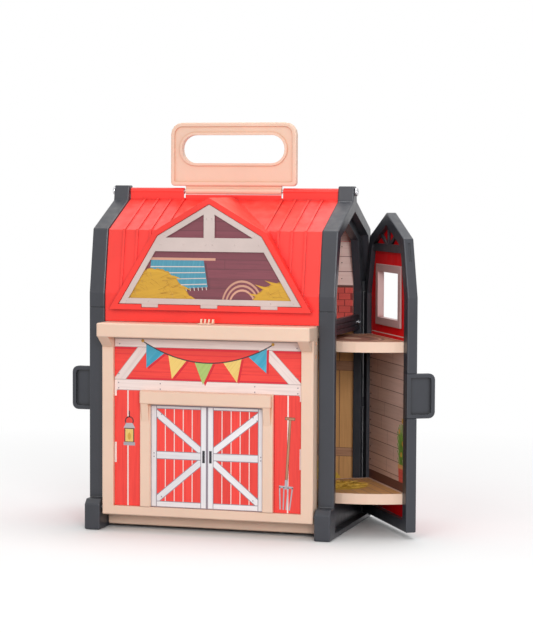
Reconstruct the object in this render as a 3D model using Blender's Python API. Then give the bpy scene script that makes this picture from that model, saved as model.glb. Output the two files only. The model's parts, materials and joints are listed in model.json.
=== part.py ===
"""Toy barn with opening doors: a moulded play barn with a carry handle.

The barn has a gambrel roof whose front half lifts on the ridge rod, a front
wall that drops forward into a yard tray, and two side walls that swing out on
vertical pins.  Metres, +Z up, X to the right, -Y is the front.  The origin is
the middle of the footprint, on the floor.
"""

import math

import bmesh
import bpy
from mathutils import Matrix, Vector

MM = 0.001

# Overall sizes
WIDTH = 250 * MM            # outer face to outer face of the side frames
DEPTH = 152 * MM            # front face to back face of the side frames
FRONT_H = 204.6 * MM        # top of the beam on the front wall
EAVE_RISE = 27.9 * MM       # from there to the bend where the walls lean in
KNEE_RISE = 63 * MM         # steep slope of the roof
RIDGE_RISE = 31.5 * MM      # shallow slope of the roof
KNEE_INSET = 10.5 * MM      # how far the knee stands in from the wall
GAP = 0.3 * MM              # clearance between pieces that touch
RUN = 2 * MM                # overrun of every cutter

# Side frames
FRAME_T = 16 * MM
FRAME_EDGE = 1.2 * MM       # rounded edge of the mouldings
LIP = 6 * MM                # rim in front of a closed side wall
POST_SEAT = 8 * MM          # ledge that a closed side wall shuts against
SILL_Z = 31 * MM            # top of the bottom rail of the side frame
FOOT_LIP = 5 * MM
TOE_REACH = 14 * MM         # foot that carries the pivot of the front wall
TOE_Z = 30 * MM
TOE_CHAMFER = 5 * MM
BOSS_HALF = 8 * MM          # block on the peak that holds the ridge rod
BOSS_TOP_HALF = 5 * MM
BOSS_RISE = 5.5 * MM        # top of the block above the rod
JOINT_DROP = 14.5 * MM      # groove across the post, below the eave
JOINT_W = 0.9 * MM
JOINT_DEPTH = 0.7 * MM

# Ridge rod, knuckles and carry handle
ROD_R = 1.6 * MM
ROD_RISE = 5.5 * MM         # rod axis above the ridge
KNUCKLE_R = 3.3 * MM
HANDLE_HALF = 65.5 * MM
HANDLE_STEM = 5.2 * MM      # foot of the plate above the rod axis
HANDLE_H = 63.3 * MM
HANDLE_T = 7.4 * MM
HANDLE_WEB_T = 5.2 * MM
HANDLE_RIM = 4 * MM
HANDLE_COLLAR = 2.6 * MM    # raised rim round the finger slot
HANDLE_TOP_R = 12 * MM
HANDLE_FOOT_R = 4 * MM
GRIP_END = 12 * MM          # plate left at each end of the finger slot
GRIP_BELOW_TOP = 12.5 * MM
GRIP_ABOVE_FOOT = 22.8 * MM
HANDLE_KNUCKLE_HALF = 50 * MM
HANDLE_KNUCKLE_WEB = 3.6 * MM
SCREW_HEAD_R = 4.2 * MM
SCREW_HEAD_T = 2.2 * MM
SCREW_SLOT = 1 * MM
SMALL_SLOT = 0.6 * MM

# Roof shells
ROOF_INSET = 1.5 * MM       # roof skin below the edge of the side frames
ROOF_T = 2.6 * MM
ROOF_LIFT = 0.4 * MM        # foot of the roof above the beam
RIDGE_CLEAR = 1.5 * MM
DRIP_T = 1.1 * MM           # rib that closes the ridge under the handle
SEAM_W = 2.2 * MM
SEAM_H = 1.2 * MM
SEAM_PITCH = 13.7 * MM
SEAM_EDGE = 16.2 * MM       # from the end of the roof to its outer seam
FLAP_SEAMS = 4              # standing seams each side of the dormer
REAR_SEAMS = 15

# Dormer on the lifting roof
DORMER_PROUD = 4.6 * MM
DORMER_RISE = 12 * MM       # its foot above the foot of the roof
DORMER_MARGIN = 6.1 * MM    # from the end of the roof
DORMER_KNEE_SHARE = 0.5526  # half width at its knee over half width at its foot
DORMER_KNEE_DROP = 2 * MM
DORMER_TOP_DROP = 0.5 * MM
DORMER_TRIM = 5.2 * MM
DORMER_STEP = 1.4 * MM
WINDOW_BORDER = 5.5 * MM
MULLION_W = 11 * MM
RAIL_W = 13.4 * MM
RAIL_DROP = 14.5 * MM       # middle of the cross rail below the knee
TAB_SHARES = (-0.59, 0.0, 0.59)  # places of the tabs over half the width
TAB_HALF = 8.5 * MM
TAB_H = 3 * MM
TAB_T = 0.9 * MM
FILM_T = 0.8 * MM
FILM_LAP = 2 * MM

# Front wall, which drops into a yard tray
PANEL_CLEAR = 1.8 * MM      # from the side frames
PANEL_PROUD = 12 * MM       # in front of the side frames
PANEL_BACK = 6 * MM         # behind the front of the side frames
PANEL_FOOT_Z = 15.5 * MM
PANEL_AXIS_Y = 6 * MM       # pivot in front of the side frames
PANEL_AXIS_Z = 22 * MM
PANEL_POST_W = 11.8 * MM
PANEL_SILL = 9 * MM
PANEL_EDGE = 1 * MM
BEAM_PROUD = 27.5 * MM
BEAM_H = 13.6 * MM
CORBEL_DROP = 10.5 * MM
NOTCH_DROPS = (1.1 * MM, 13.4 * MM)  # slots in the end faces, below the beam
NOTCH_SHARES = (0.68, 0.94)  # their sides over the part in front of the frames
NOTCH_H = 3.7 * MM
NOTCH_DEPTH = 1.4 * MM
CARD_T = 1.2 * MM
CARD_RECESS = 3.8 * MM
YARD_RECESS = 5 * MM
YARD_RIM = 4 * MM
YARD_CARD_T = 1.2 * MM
PORTAL_SHARE = 0.6287       # door surround over half the front wall
PORTAL_POST_W = 10.2 * MM
LINTEL_DROP = 52 * MM       # its top below the beam
LINTEL_H = 13.4 * MM
LINTEL_PROUD = 9 * MM
PORTAL_PROUD = 4.4 * MM
BRACKET = 17 * MM
CATCH_HALF = 6.8 * MM
CATCH_RIBS = 4
CATCH_RIB_T = 1.8 * MM
CATCH_RISE = 4.9 * MM
CATCH_DEPTH = 4 * MM        # of its ribs
CATCH_BACK = 7 * MM         # from the front of the side frames
CATCH_FRONT = 19 * MM
PIN_R = 1.6 * MM
PIN_IN_PANEL = 7 * MM
PIN_IN_FRAME = 8 * MM

# Floors, back wall and rails
FLOOR_TOP_Z = 29 * MM
FLOOR_FOOT_Z = 3 * MM
FLOOR_FRONT = 9 * MM        # from the front of the side frames
FLOOR_T = 3 * MM
FLOOR_RIB_T = 2.4 * MM
FLOOR_RIB_SHARES = (-0.6, 0.0, 0.6)
CENTRE_FOOT_R = 9 * MM
LOFT_DROP = 1.6 * MM        # its top below the beam's
LOFT_H = 10 * MM
LOFT_FRONT = 6.5 * MM
BACK_WALL_T = 6 * MM
BACK_WALL_IN = 1 * MM
BACK_SKIN_T = 2.4 * MM
BOARD_PITCH = 18 * MM
BATTEN_W = 3 * MM
BATTEN_H = 1.2 * MM
LOFT_CARD_IN = 16 * MM      # from the back of the side frames
LOFT_CARD_DROP = 13.5 * MM  # its top below the knee
RAIL_LIP = 5.5 * MM         # rail above the loft floor
RAIL_H = 15.2 * MM
RAIL_T = 5 * MM
RAIL_GROOVE = 1.2 * MM
RAIL_SCREW_R = 3.2 * MM
BACK_SCREW_R = 3 * MM
BACK_SCREW_T = 1.6 * MM
BACK_SCREW_SHARES = (0.17, 0.5, 0.83)  # heights over the back wall

# Side walls that swing
WALL_T = 10.4 * MM
WALL_PROUD = 2.5 * MM       # outer face past the side frames
WALL_FREE = 0.8 * MM        # clearance of the free edge
WALL_FOOT_Z = 6 * MM
WALL_EAVE_DROP = 0.5 * MM   # its bends and peak inside those of the frame
WALL_KNEE_IN = 11 * MM
WALL_KNEE_DROP = 7.5 * MM
WALL_RIDGE_DROP = 14.5 * MM
WALL_RING = 11 * MM
WALL_RECESS = 4.5 * MM
WALL_PANEL_T = 2 * MM
WALL_GROOVES = 2            # board grooves each side of the middle
GROOVE_DEPTH = 0.5 * MM
BRACE_W = 9 * MM            # crossed braces outside a wall
BRACE_H = 1.4 * MM
HINGE_BACK = 4.7 * MM       # hinge axis in from the back face
LUG_H = 10 * MM
LUG_CLEAR = 1.4 * MM
LUG_WEB_SHARE = 0.69        # width of the web as a share of the eye
WALL_PIN_R = 1.5 * MM
WALL_REST_ANGLE = math.radians(31)
WINDOW_SIDE = 18.8 * MM     # panel left beside the window
WINDOW_RISE = 11.4 * MM     # its foot above the shelf
WINDOW_H = 60.6 * MM
WINDOW_RAIL = 7.5 * MM
WINDOW_FRAME_LAP = 2 * MM
FAN_RISE = 12.6 * MM        # foot of the fan light above the window
FAN_BAR = 7.8 * MM          # height of its base band
FAN_RAY_SHARE = 0.22        # half a ray over the base band
FAN_DEPTH = 2.6 * MM
FAN_RAYS = ((math.radians(30), 1.25), (math.radians(90), 1.0), (math.radians(150), 1.25))
EDGE_SLOT_FOOT = 34 * MM    # slot in the leaning free edge, above the eave
EDGE_SLOT_TOP = 52 * MM
EDGE_SLOT_HALF = 1.5 * MM
EDGE_SLOT_DEPTH = 0.8 * MM
SHELF_DROP = 14 * MM        # its top below the loft floor
SHELF_H = 10.2 * MM
TRAY_CLEAR = 3 * MM         # wall floor above the barn floor
SHELF_MEET = 9.1 * MM       # half the space between two closed floors
SHELF_RIM = 2.2 * MM
SHELF_CARD_T = 0.6 * MM
SHELF_FLOOR_T = 2.6 * MM
PULL_REACH = 28.5 * MM
PULL_FOOT_Z = 116.1 * MM
PULL_H = 43.2 * MM
PULL_T = 4.6 * MM
PULL_RIM = 3.8 * MM
PULL_DISH = 3 * MM
PULL_R = 6 * MM

# Places worked out from the sizes above
HALF_W = WIDTH / 2
HALF_D = DEPTH / 2
FRAME_IN = HALF_W - FRAME_T
ROOF_HALF = FRAME_IN - GAP
KNEE_Y = HALF_D - KNEE_INSET
BEAM_TOP_Z = FRONT_H
BEAM_FOOT_Z = BEAM_TOP_Z - BEAM_H
ROOF_FOOT_Z = BEAM_TOP_Z + ROOF_LIFT
EAVE_Z = BEAM_TOP_Z + EAVE_RISE
KNEE_Z = EAVE_Z + KNEE_RISE
RIDGE_Z = KNEE_Z + RIDGE_RISE
SLOPE = (RIDGE_Z - KNEE_Z) / KNEE_Y
ROD_Z = RIDGE_Z + ROD_RISE
BOSS_Z = ROD_Z + BOSS_RISE
HANDLE_FOOT_Z = ROD_Z + HANDLE_STEM
HANDLE_TOP_Z = HANDLE_FOOT_Z + HANDLE_H
GRIP_HALF = HANDLE_HALF - GRIP_END
GRIP_HEIGHT = HANDLE_H - GRIP_BELOW_TOP - GRIP_ABOVE_FOOT
DORMER_FOOT_Z = ROOF_FOOT_Z + DORMER_RISE
DORMER_FOOT_HALF = ROOF_HALF - DORMER_MARGIN
DORMER_KNEE_HALF = DORMER_FOOT_HALF * DORMER_KNEE_SHARE
DORMER_KNEE_Z = KNEE_Z - DORMER_KNEE_DROP
DORMER_RIDGE_Z = RIDGE_Z - DORMER_TOP_DROP
RAIL_Z = KNEE_Z - RAIL_DROP
PANEL_HALF = FRAME_IN - PANEL_CLEAR
PANEL_FRONT = -HALF_D - PANEL_PROUD
PANEL_REAR = -HALF_D + PANEL_BACK
BEAM_FRONT = -HALF_D - BEAM_PROUD
PIVOT_Y = -HALF_D - PANEL_AXIS_Y
PORTAL_OUTER = PANEL_HALF * PORTAL_SHARE
PORTAL_INNER = PORTAL_OUTER - PORTAL_POST_W
LINTEL_TOP_Z = BEAM_FOOT_Z - LINTEL_DROP
LINTEL_FOOT_Z = LINTEL_TOP_Z - LINTEL_H
CATCH_TOP_Z = BEAM_TOP_Z + CATCH_RISE
LOFT_TOP_Z = BEAM_TOP_Z - LOFT_DROP
LOFT_FOOT_Z = LOFT_TOP_Z - LOFT_H
LOFT_CARD_Y = HALF_D - LOFT_CARD_IN
LOFT_CARD_TOP_Z = KNEE_Z - LOFT_CARD_DROP
RAIL_TOP_Z = LOFT_TOP_Z + RAIL_LIP
RAIL_FOOT_Z = RAIL_TOP_Z - RAIL_H
AXIS_X = HALF_W + WALL_PROUD - WALL_T / 2
AXIS_Y = HALF_D - HINGE_BACK
WALL_IN = AXIS_X - WALL_T / 2
WALL_OUT = AXIS_X + WALL_T / 2
SEAT_X = WALL_IN - GAP
FREE_Y = HALF_D - LIP - WALL_FREE
POST_FRONT = HALF_D - LIP - POST_SEAT
POST_BACK = AXIS_Y - POST_SEAT - FRAME_EDGE * 2
WALL_EAVE_Z = EAVE_Z - WALL_EAVE_DROP
WALL_KNEE_Y = KNEE_Y - WALL_KNEE_IN
WALL_KNEE_Z = KNEE_Z - WALL_KNEE_DROP
WALL_RIDGE_Z = RIDGE_Z - WALL_RIDGE_DROP
SHELF_TOP_Z = LOFT_TOP_Z - SHELF_DROP
SHELF_FOOT_Z = SHELF_TOP_Z - SHELF_H
TRAY_FOOT_Z = FLOOR_TOP_Z + TRAY_CLEAR
TRAY_TOP_Z = TRAY_FOOT_Z + SHELF_H
SHELF_REACH = WALL_IN - SHELF_MEET
WINDOW_HALF = FREE_Y - WALL_RING - WINDOW_SIDE
WINDOW_FOOT_Z = SHELF_TOP_Z + WINDOW_RISE
WINDOW_TOP_Z = WINDOW_FOOT_Z + WINDOW_H
FAN_BASE_Z = WINDOW_TOP_Z + FAN_RISE
PULL_TOP_Z = PULL_FOOT_Z + PULL_H
LUG_FEET = (FOOT_LIP / 2, (WALL_FOOT_Z + WALL_EAVE_Z) / 2 - LUG_H / 2, WALL_EAVE_Z - GAP)

COLOURS = {
    "charcoal": ((0.065, 0.075, 0.088), 0.42, 0.0),
    "red": ((0.80, 0.06, 0.035), 0.36, 0.0),
    "peach": ((0.86, 0.60, 0.43), 0.42, 0.0),
    "pale": ((0.76, 0.62, 0.58), 0.5, 0.0),
    "dark_red": ((0.36, 0.008, 0.012), 0.45, 0.0),
    "card_red": ((0.72, 0.08, 0.06), 0.6, 0.0),
    "card_tan": ((0.52, 0.33, 0.24), 0.7, 0.0),
    "green": ((0.20, 0.42, 0.10), 0.6, 0.0),
    "film": ((0.22, 0.12, 0.15), 0.2, 0.0),
    "steel": ((0.62, 0.62, 0.63), 0.28, 1.0),
}


# Modelling helpers

def clear_scene():
    for obj in list(bpy.data.objects):
        bpy.data.objects.remove(obj, do_unlink=True)


def new_object(name, bm):
    """Turn a bmesh into a linked object with its faces pointing out."""
    bmesh.ops.recalc_face_normals(bm, faces=bm.faces)
    mesh = bpy.data.meshes.new(name)
    bm.to_mesh(mesh)
    bm.free()
    obj = bpy.data.objects.new(name, mesh)
    bpy.context.scene.collection.objects.link(obj)
    return obj


def prism(name, outline, axis, low, high, edge=0.0, segments=2):
    """Extrude a closed outline along an axis, with all its edges rounded."""
    def place(pair, depth):
        u, v = pair
        return {"X": (depth, u, v), "Y": (u, depth, v), "Z": (u, v, depth)}[axis]

    bm = bmesh.new()
    base = bm.faces.new([bm.verts.new(place(point, low)) for point in outline])
    grown = bmesh.ops.extrude_face_region(bm, geom=[base])["geom"]
    step = Vector(place((0, 0), high)) - Vector(place((0, 0), low))
    moved = [item for item in grown if isinstance(item, bmesh.types.BMVert)]
    bmesh.ops.translate(bm, vec=step, verts=moved)
    if edge:
        round_edges(bm, edge, segments)
    return new_object(name, bm)


def round_edges(bm, width, segments):
    """Round the edges of a blank that turn by more than 25 degrees."""
    bmesh.ops.recalc_face_normals(bm, faces=bm.faces)
    sharp = [e for e in bm.edges
             if len(e.link_faces) == 2 and e.calc_face_angle() > math.radians(25)]
    bmesh.ops.bevel(bm, geom=sharp, offset=width, segments=segments,
                    profile=0.5, affect='EDGES', clamp_overlap=True)


def box(name, xs, ys, zs, edge=0.0, segments=2):
    """A block from three pairs of limits."""
    outline = [(xs[0], ys[0]), (xs[1], ys[0]), (xs[1], ys[1]), (xs[0], ys[1])]
    return prism(name, outline, "Z", zs[0], zs[1], edge, segments)


def cylinder(name, axis, centre, radius, low, high, sides=20, edge=0.0):
    """A round bar; centre gives the two coordinates across its axis."""
    turn = 2 * math.pi / sides
    outline = [(centre[0] + radius * math.cos(turn * i),
                centre[1] + radius * math.sin(turn * i)) for i in range(sides)]
    return prism(name, outline, axis, low, high, edge)


def combine(body, tools, operation):
    """Apply one exact boolean for each tool and remove the tools."""
    for tool in tools:
        modifier = body.modifiers.new(operation.title(), 'BOOLEAN')
        modifier.operation = operation
        modifier.object = tool
        bpy.context.view_layer.update()
        graph = bpy.context.evaluated_depsgraph_get()
        mesh = bpy.data.meshes.new_from_object(body.evaluated_get(graph))
        body.modifiers.clear()
        body.data = mesh
        bpy.data.objects.remove(tool, do_unlink=True)
    return body


def cut(body, *tools):
    return combine(body, tools, 'DIFFERENCE')


def fuse(body, *tools):
    return combine(body, tools, 'UNION')


def paint(obj, colour):
    """Give a piece its own material and soft shading on round faces."""
    rgb, roughness, metallic = COLOURS[colour]
    material = bpy.data.materials.new(obj.name + "_" + colour)
    material.use_nodes = True
    shader = material.node_tree.nodes["Principled BSDF"]
    shader.inputs["Base Color"].default_value = (*rgb, 1)
    shader.inputs["Roughness"].default_value = roughness
    shader.inputs["Metallic"].default_value = metallic
    obj.data.materials.clear()
    obj.data.materials.append(material)
    obj.data.shade_smooth()
    obj.data.set_sharp_from_angle(angle=math.radians(30))
    return obj


def offset_line(points, distance, closed):
    """Move an outline to its left by a distance, with mitred corners."""
    count = len(points)
    moved = []
    for i, point in enumerate(points):
        here = Vector(point)
        ahead = Vector(points[(i + 1) % count]) - here
        behind = here - Vector(points[i - 1])
        if not closed and i == 0:
            behind = ahead
        if not closed and i == count - 1:
            ahead = behind
        left_a = Vector((-behind.y, behind.x)).normalized()
        left_b = Vector((-ahead.y, ahead.x)).normalized()
        mitre = (left_a + left_b).normalized()
        moved.append(tuple(here + mitre * (distance / mitre.dot(left_a))))
    return moved


def inset(outline, distance):
    """Shrink a counter-clockwise outline."""
    return offset_line(outline, distance, True)


def rounded(outline, radii, steps=4):
    """Round each corner of an outline with its own radius."""
    result = []
    for i, (point, radius) in enumerate(zip(outline, radii)):
        corner = Vector(point)
        to_last = (Vector(outline[i - 1]) - corner).normalized()
        to_next = (Vector(outline[(i + 1) % len(outline)]) - corner).normalized()
        half = to_last.angle(to_next) / 2
        reach = radius / math.tan(half)
        centre = corner + (to_last + to_next).normalized() * (radius / math.sin(half))
        start = corner + to_last * reach - centre
        sweep = start.angle_signed(corner + to_next * reach - centre)
        for step in range(steps + 1):
            turned = start.copy()
            turned.rotate(Matrix.Rotation(-sweep * step / steps, 2))
            result.append(tuple(centre + turned))
    return result


def bar(start, end, half):
    """Corners of a straight bar between two points."""
    along = (Vector(end) - Vector(start)).normalized()
    across = Vector((-along.y, along.x)) * half
    return [tuple(Vector(p) + across * s)
            for p, s in ((start, -1), (end, -1), (end, 1), (start, 1))]


def rectangle(us, vs):
    """Counter-clockwise corners of a rectangle."""
    return [(us[0], vs[0]), (us[1], vs[0]), (us[1], vs[1]), (us[0], vs[1])]


def hinge_at(name, location):
    """An empty on a joint's axis, which carries the pieces that turn on it."""
    empty = bpy.data.objects.new(name, None)
    empty.location = location
    bpy.context.scene.collection.objects.link(empty)
    return empty


def hang(pieces, hinge):
    """Parent pieces to a hinge and leave them where they stand."""
    for piece in pieces:
        piece.parent = hinge
        piece.matrix_parent_inverse = Matrix.Translation(-hinge.location)


# Outlines

def gambrel(front, back, foot, eave, knee_y, knee_z, ridge):
    """Barn outline in Y and Z, counter-clockwise from its back foot."""
    return [(-front, foot), (back, foot), (back, eave), (knee_y, knee_z),
            (0, ridge), (-knee_y, knee_z), (-front, eave)]


def frame_outline():
    """Outline of a side frame with its front toe and its ridge boss."""
    toe = -HALF_D - TOE_REACH
    right = [(HALF_D, 0), (HALF_D, EAVE_Z), (KNEE_Y, KNEE_Z),
             (BOSS_HALF, RIDGE_Z - BOSS_HALF * SLOPE), (BOSS_TOP_HALF, BOSS_Z)]
    left = [(-y, z) for y, z in right[:0:-1]]
    return [(toe, 0)] + right + left + [
        (-HALF_D, TOE_Z), (toe + TOE_CHAMFER, TOE_Z), (toe, TOE_Z - TOE_CHAMFER)]


def lug_outline(side):
    """Hinge lug in X and Y: a round eye on a narrower web into the post."""
    eye = WALL_T / 2
    web = eye * LUG_WEB_SHARE
    root = FRAME_IN + FRAME_EDGE
    reach = math.pi - math.asin(LUG_WEB_SHARE)
    steps = 16
    angles = [-reach + 2 * reach * i / steps for i in range(steps + 1)]
    arc = [(AXIS_X + eye * math.cos(a), AXIS_Y + eye * math.sin(a)) for a in angles]
    outline = [(root, AXIS_Y - web)] + arc + [(root, AXIS_Y + web)]
    return [(side * x, y) for x, y in outline]


def wall_outline():
    """Outline of a side wall; the back edge is the hinge axis."""
    return gambrel(FREE_Y, AXIS_Y, WALL_FOOT_Z, WALL_EAVE_Z,
                   WALL_KNEE_Y, WALL_KNEE_Z, WALL_RIDGE_Z)


def roof_line():
    """Outer line of the front roof skin, from its foot to the ridge plane."""
    skin = [(-HALF_D, ROOF_FOOT_Z), (-HALF_D, EAVE_Z), (-KNEE_Y, KNEE_Z), (0, RIDGE_Z)]
    return offset_line(skin, -ROOF_INSET, False)


def shortened(line, amount):
    """Draw both ends of an open line in along it."""
    first, second = Vector(line[0]), Vector(line[1])
    last, before = Vector(line[-1]), Vector(line[-2])
    head = first + (second - first).normalized() * amount
    tail = last + (before - last).normalized() * amount
    return [tuple(head)] + list(line[1:-1]) + [tuple(tail)]


def dormer_outline():
    """Outline of the dormer in X and Z, counter-clockwise."""
    return [(-DORMER_FOOT_HALF, DORMER_FOOT_Z), (DORMER_FOOT_HALF, DORMER_FOOT_Z),
            (DORMER_KNEE_HALF, DORMER_KNEE_Z), (0, DORMER_RIDGE_Z),
            (-DORMER_KNEE_HALF, DORMER_KNEE_Z)]


# Fixed barn

def side_frame(name, side):
    """Gambrel ring with a rebate, hinge lugs, a toe and the ridge boss."""
    frame = prism(name, frame_outline(), "X", side * FRAME_IN, side * HALF_W, FRAME_EDGE)
    pocket = gambrel(HALF_D - LIP, HALF_D + RUN, FOOT_LIP, WALL_EAVE_Z,
                     WALL_KNEE_Y + WALL_FREE, WALL_KNEE_Z + WALL_FREE,
                     WALL_RIDGE_Z + WALL_FREE)
    cut(frame, prism("pocket", pocket, "X", side * SEAT_X, side * (HALF_W + RUN)))
    ledge = (WALL_RIDGE_Z - POST_SEAT, WALL_KNEE_Y - POST_SEAT, WALL_KNEE_Z - POST_SEAT / 2)
    opening = gambrel(POST_FRONT, POST_BACK, SILL_Z, WALL_EAVE_Z, ledge[1], ledge[2], ledge[0])
    cut(frame, prism("opening", opening, "X",
                     side * (FRAME_IN - RUN), side * (HALF_W + RUN)))

    axis = (side * AXIS_X, AXIS_Y)
    for foot in LUG_FEET:
        fuse(frame, prism("lug", lug_outline(side), "Z", foot, foot + LUG_H))
    top = LUG_FEET[-1] + LUG_H
    cut(frame,
        cylinder("pin_bore", "Z", axis, WALL_PIN_R + GAP, FLOOR_T, top + RUN, 12),
        cylinder("rod_bore", "X", (0, ROD_Z), ROD_R + GAP,
                 side * (FRAME_IN - RUN), side * (HALF_W + RUN), 12),
        cylinder("front_bore", "X", (PIVOT_Y, PANEL_AXIS_Z), PIN_R + GAP,
                 side * (FRAME_IN - RUN), side * (FRAME_IN + PIN_IN_FRAME + GAP), 12))
    groove = EAVE_Z - JOINT_DROP
    cut(frame, box("joint", sorted((side * (FRAME_IN - RUN), side * (HALF_W + RUN))),
                   (-HALF_D - RUN, -HALF_D + JOINT_DEPTH), (groove, groove + JOINT_W)))
    return paint(frame, "charcoal")


def sill_rail(name, side):
    """Grooved rail across the side opening, under the loft."""
    outer = SEAT_X - FRAME_EDGE
    rail = box(name, sorted((side * (outer - RAIL_T), side * outer)),
               (-POST_FRONT + GAP, POST_BACK - GAP), (RAIL_FOOT_Z, RAIL_TOP_Z))
    third = (RAIL_TOP_Z - RAIL_FOOT_Z) / 3
    for line in (RAIL_FOOT_Z + third, RAIL_TOP_Z - third):
        cut(rail, box("groove", sorted((side * (outer - RAIL_GROOVE), side * (outer + RUN))),
                      (-POST_FRONT - RUN, POST_BACK - RAIL_SCREW_R * 4),
                      (line - RAIL_GROOVE / 2, line + RAIL_GROOVE / 2)))
    return paint(rail, "charcoal")


def base_floor(name):
    """Ground floor tray on a skirt, with ribs and a centre foot underneath."""
    ys = (-HALF_D + FLOOR_FRONT, HALF_D - BACK_WALL_IN - BACK_WALL_T - CARD_T - 2 * GAP)
    floor = box(name, (-ROOF_HALF, ROOF_HALF), ys, (FLOOR_FOOT_Z, FLOOR_TOP_Z), FRAME_EDGE, 1)
    cut(floor, box("under", (-ROOF_HALF + FLOOR_T, ROOF_HALF - FLOOR_T),
                   (ys[0] + FLOOR_T, ys[1] - FLOOR_T),
                   (FLOOR_FOOT_Z - RUN, FLOOR_TOP_Z - FLOOR_T)))
    rib_top = FLOOR_TOP_Z - FLOOR_T / 2
    half = FLOOR_RIB_T / 2
    fuse(floor, box("rib", (-ROOF_HALF + FLOOR_T / 2, ROOF_HALF - FLOOR_T / 2),
                    (-half, half), (FLOOR_FOOT_Z, rib_top)))
    for share in FLOOR_RIB_SHARES:
        x = ROOF_HALF * share
        fuse(floor, box("rib", (x - half, x + half),
                        (ys[0] + FLOOR_T / 2, ys[1] - FLOOR_T / 2),
                        (FLOOR_FOOT_Z + half, rib_top + half / 2)))
    fuse(floor, cylinder("foot", "Z", (0, 0), CENTRE_FOOT_R, 0, rib_top + half / 4))
    return paint(floor, "peach")


def loft_floor(name):
    """Loft tray between the side frames, open underneath."""
    ys = (-HALF_D + LOFT_FRONT, HALF_D - BACK_WALL_IN - BACK_WALL_T - CARD_T - 2 * GAP)
    inner = SEAT_X - FRAME_EDGE - RAIL_T - GAP
    half = min(ROOF_HALF, inner)
    floor = box(name, (-half, half), ys, (LOFT_FOOT_Z, LOFT_TOP_Z), FRAME_EDGE, 1)
    cut(floor, box("under", (-half + FLOOR_T, half - FLOOR_T),
                   (ys[0] + FLOOR_T, ys[1] - FLOOR_T),
                   (LOFT_FOOT_Z - RUN, LOFT_TOP_Z - FLOOR_T)))
    return paint(floor, "peach")


def back_wall(name):
    """Moulded back wall with a rim inside and battens outside."""
    back = HALF_D - BACK_WALL_IN
    zs = (FLOOR_FOOT_Z, ROOF_FOOT_Z - GAP)
    wall = box(name, (-ROOF_HALF, ROOF_HALF), (back - BACK_SKIN_T, back), zs)
    count = int(2 * ROOF_HALF / BOARD_PITCH)
    first = -(count - 1) * BOARD_PITCH / 2
    for i in range(count):
        x = first + i * BOARD_PITCH
        fuse(wall, box("batten", (x - BATTEN_W / 2, x + BATTEN_W / 2),
                       (back - GAP, back + BATTEN_H),
                       (zs[0] + BATTEN_W, zs[1] - BATTEN_W)))
    rim = box("rim", (-ROOF_HALF, ROOF_HALF), (back - BACK_WALL_T, back - BACK_SKIN_T / 2), zs)
    cut(rim, box("rim_hole", (-ROOF_HALF + FLOOR_T, ROOF_HALF - FLOOR_T),
                 (back - BACK_WALL_T - RUN, back), (zs[0] + FLOOR_T, zs[1] - FLOOR_T)))
    return paint(fuse(wall, rim), "red")


def back_card(name):
    """Printed card on the inside of the back wall, between the floors."""
    rear = HALF_D - BACK_WALL_IN - BACK_WALL_T - GAP
    card = box(name, (-ROOF_HALF + GAP, ROOF_HALF - GAP), (rear - CARD_T, rear),
               (FLOOR_TOP_Z + GAP - FLOOR_T * 2, LOFT_TOP_Z + GAP))
    return paint(card, "card_tan")


def loft_card(name):
    """Printed card that closes the back of the loft."""
    card = box(name, (-ROOF_HALF + GAP, ROOF_HALF - GAP),
               (LOFT_CARD_Y, LOFT_CARD_Y + CARD_T), (LOFT_TOP_Z + GAP, LOFT_CARD_TOP_Z))
    return paint(card, "card_tan")


def seam(line, x):
    """One standing seam: a thin fin that follows the roof line."""
    track = shortened(line, SEAM_W)
    outer = offset_line(track, SEAM_H, False)
    inner = offset_line(track, -ROOF_T / 2, False)
    return prism("seam", outer + inner[::-1], "X", x - SEAM_W / 2, x + SEAM_W / 2)


def roof_rear(name):
    """Fixed rear half of the roof, a shell with standing seams."""
    line = [(-y, z) for y, z in roof_line()][::-1]
    line[0] = (RIDGE_CLEAR, line[0][1] - (RIDGE_CLEAR - line[0][0]) * SLOPE)
    inner = offset_line(line, -ROOF_T, False)
    shell = prism(name, line + inner[::-1], "X", -ROOF_HALF, ROOF_HALF)
    pitch = 2 * (ROOF_HALF - SEAM_EDGE) / (REAR_SEAMS - 1)
    for i in range(REAR_SEAMS):
        fuse(shell, seam(line, -ROOF_HALF + SEAM_EDGE + i * pitch))
    return paint(shell, "red")


def cross_slot(head, axis, centre, radius, width, tip, outward):
    """Sink a cross in a screw head that faces along X or Y."""
    across, rise = centre
    depth = sorted((tip - outward * width, tip + outward * RUN))
    long, short = radius - width, width / 2
    for half_a, half_z in ((long, short), (short, long)):
        sides = (across - half_a, across + half_a)
        tops = (rise - half_z, rise + half_z)
        limits = (depth, sides) if axis == "X" else (sides, depth)
        cut(head, box("slot", *limits, tops))
    return paint(head, "steel")


def ridge_screw(name, side):
    """Cross-slotted screw at an end of the ridge rod."""
    face = side * (HALF_W + GAP)
    tip = face + side * SCREW_HEAD_T
    head = cylinder(name, "X", (0, ROD_Z), SCREW_HEAD_R, face, tip, 20, SCREW_SLOT / 2)
    return cross_slot(head, "X", (0, ROD_Z), SCREW_HEAD_R, SCREW_SLOT, tip, side)


def rail_screw(name, side):
    """Screw at the back end of a sill rail."""
    centre = (POST_BACK - RAIL_SCREW_R * 2, (RAIL_FOOT_Z + RAIL_TOP_Z) / 2)
    outer = SEAT_X - FRAME_EDGE + GAP
    head = cylinder(name, "X", centre, RAIL_SCREW_R, side * outer, side * SEAT_X, 16)
    return cross_slot(head, "X", centre, RAIL_SCREW_R, SMALL_SLOT, side * SEAT_X, side)


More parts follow.
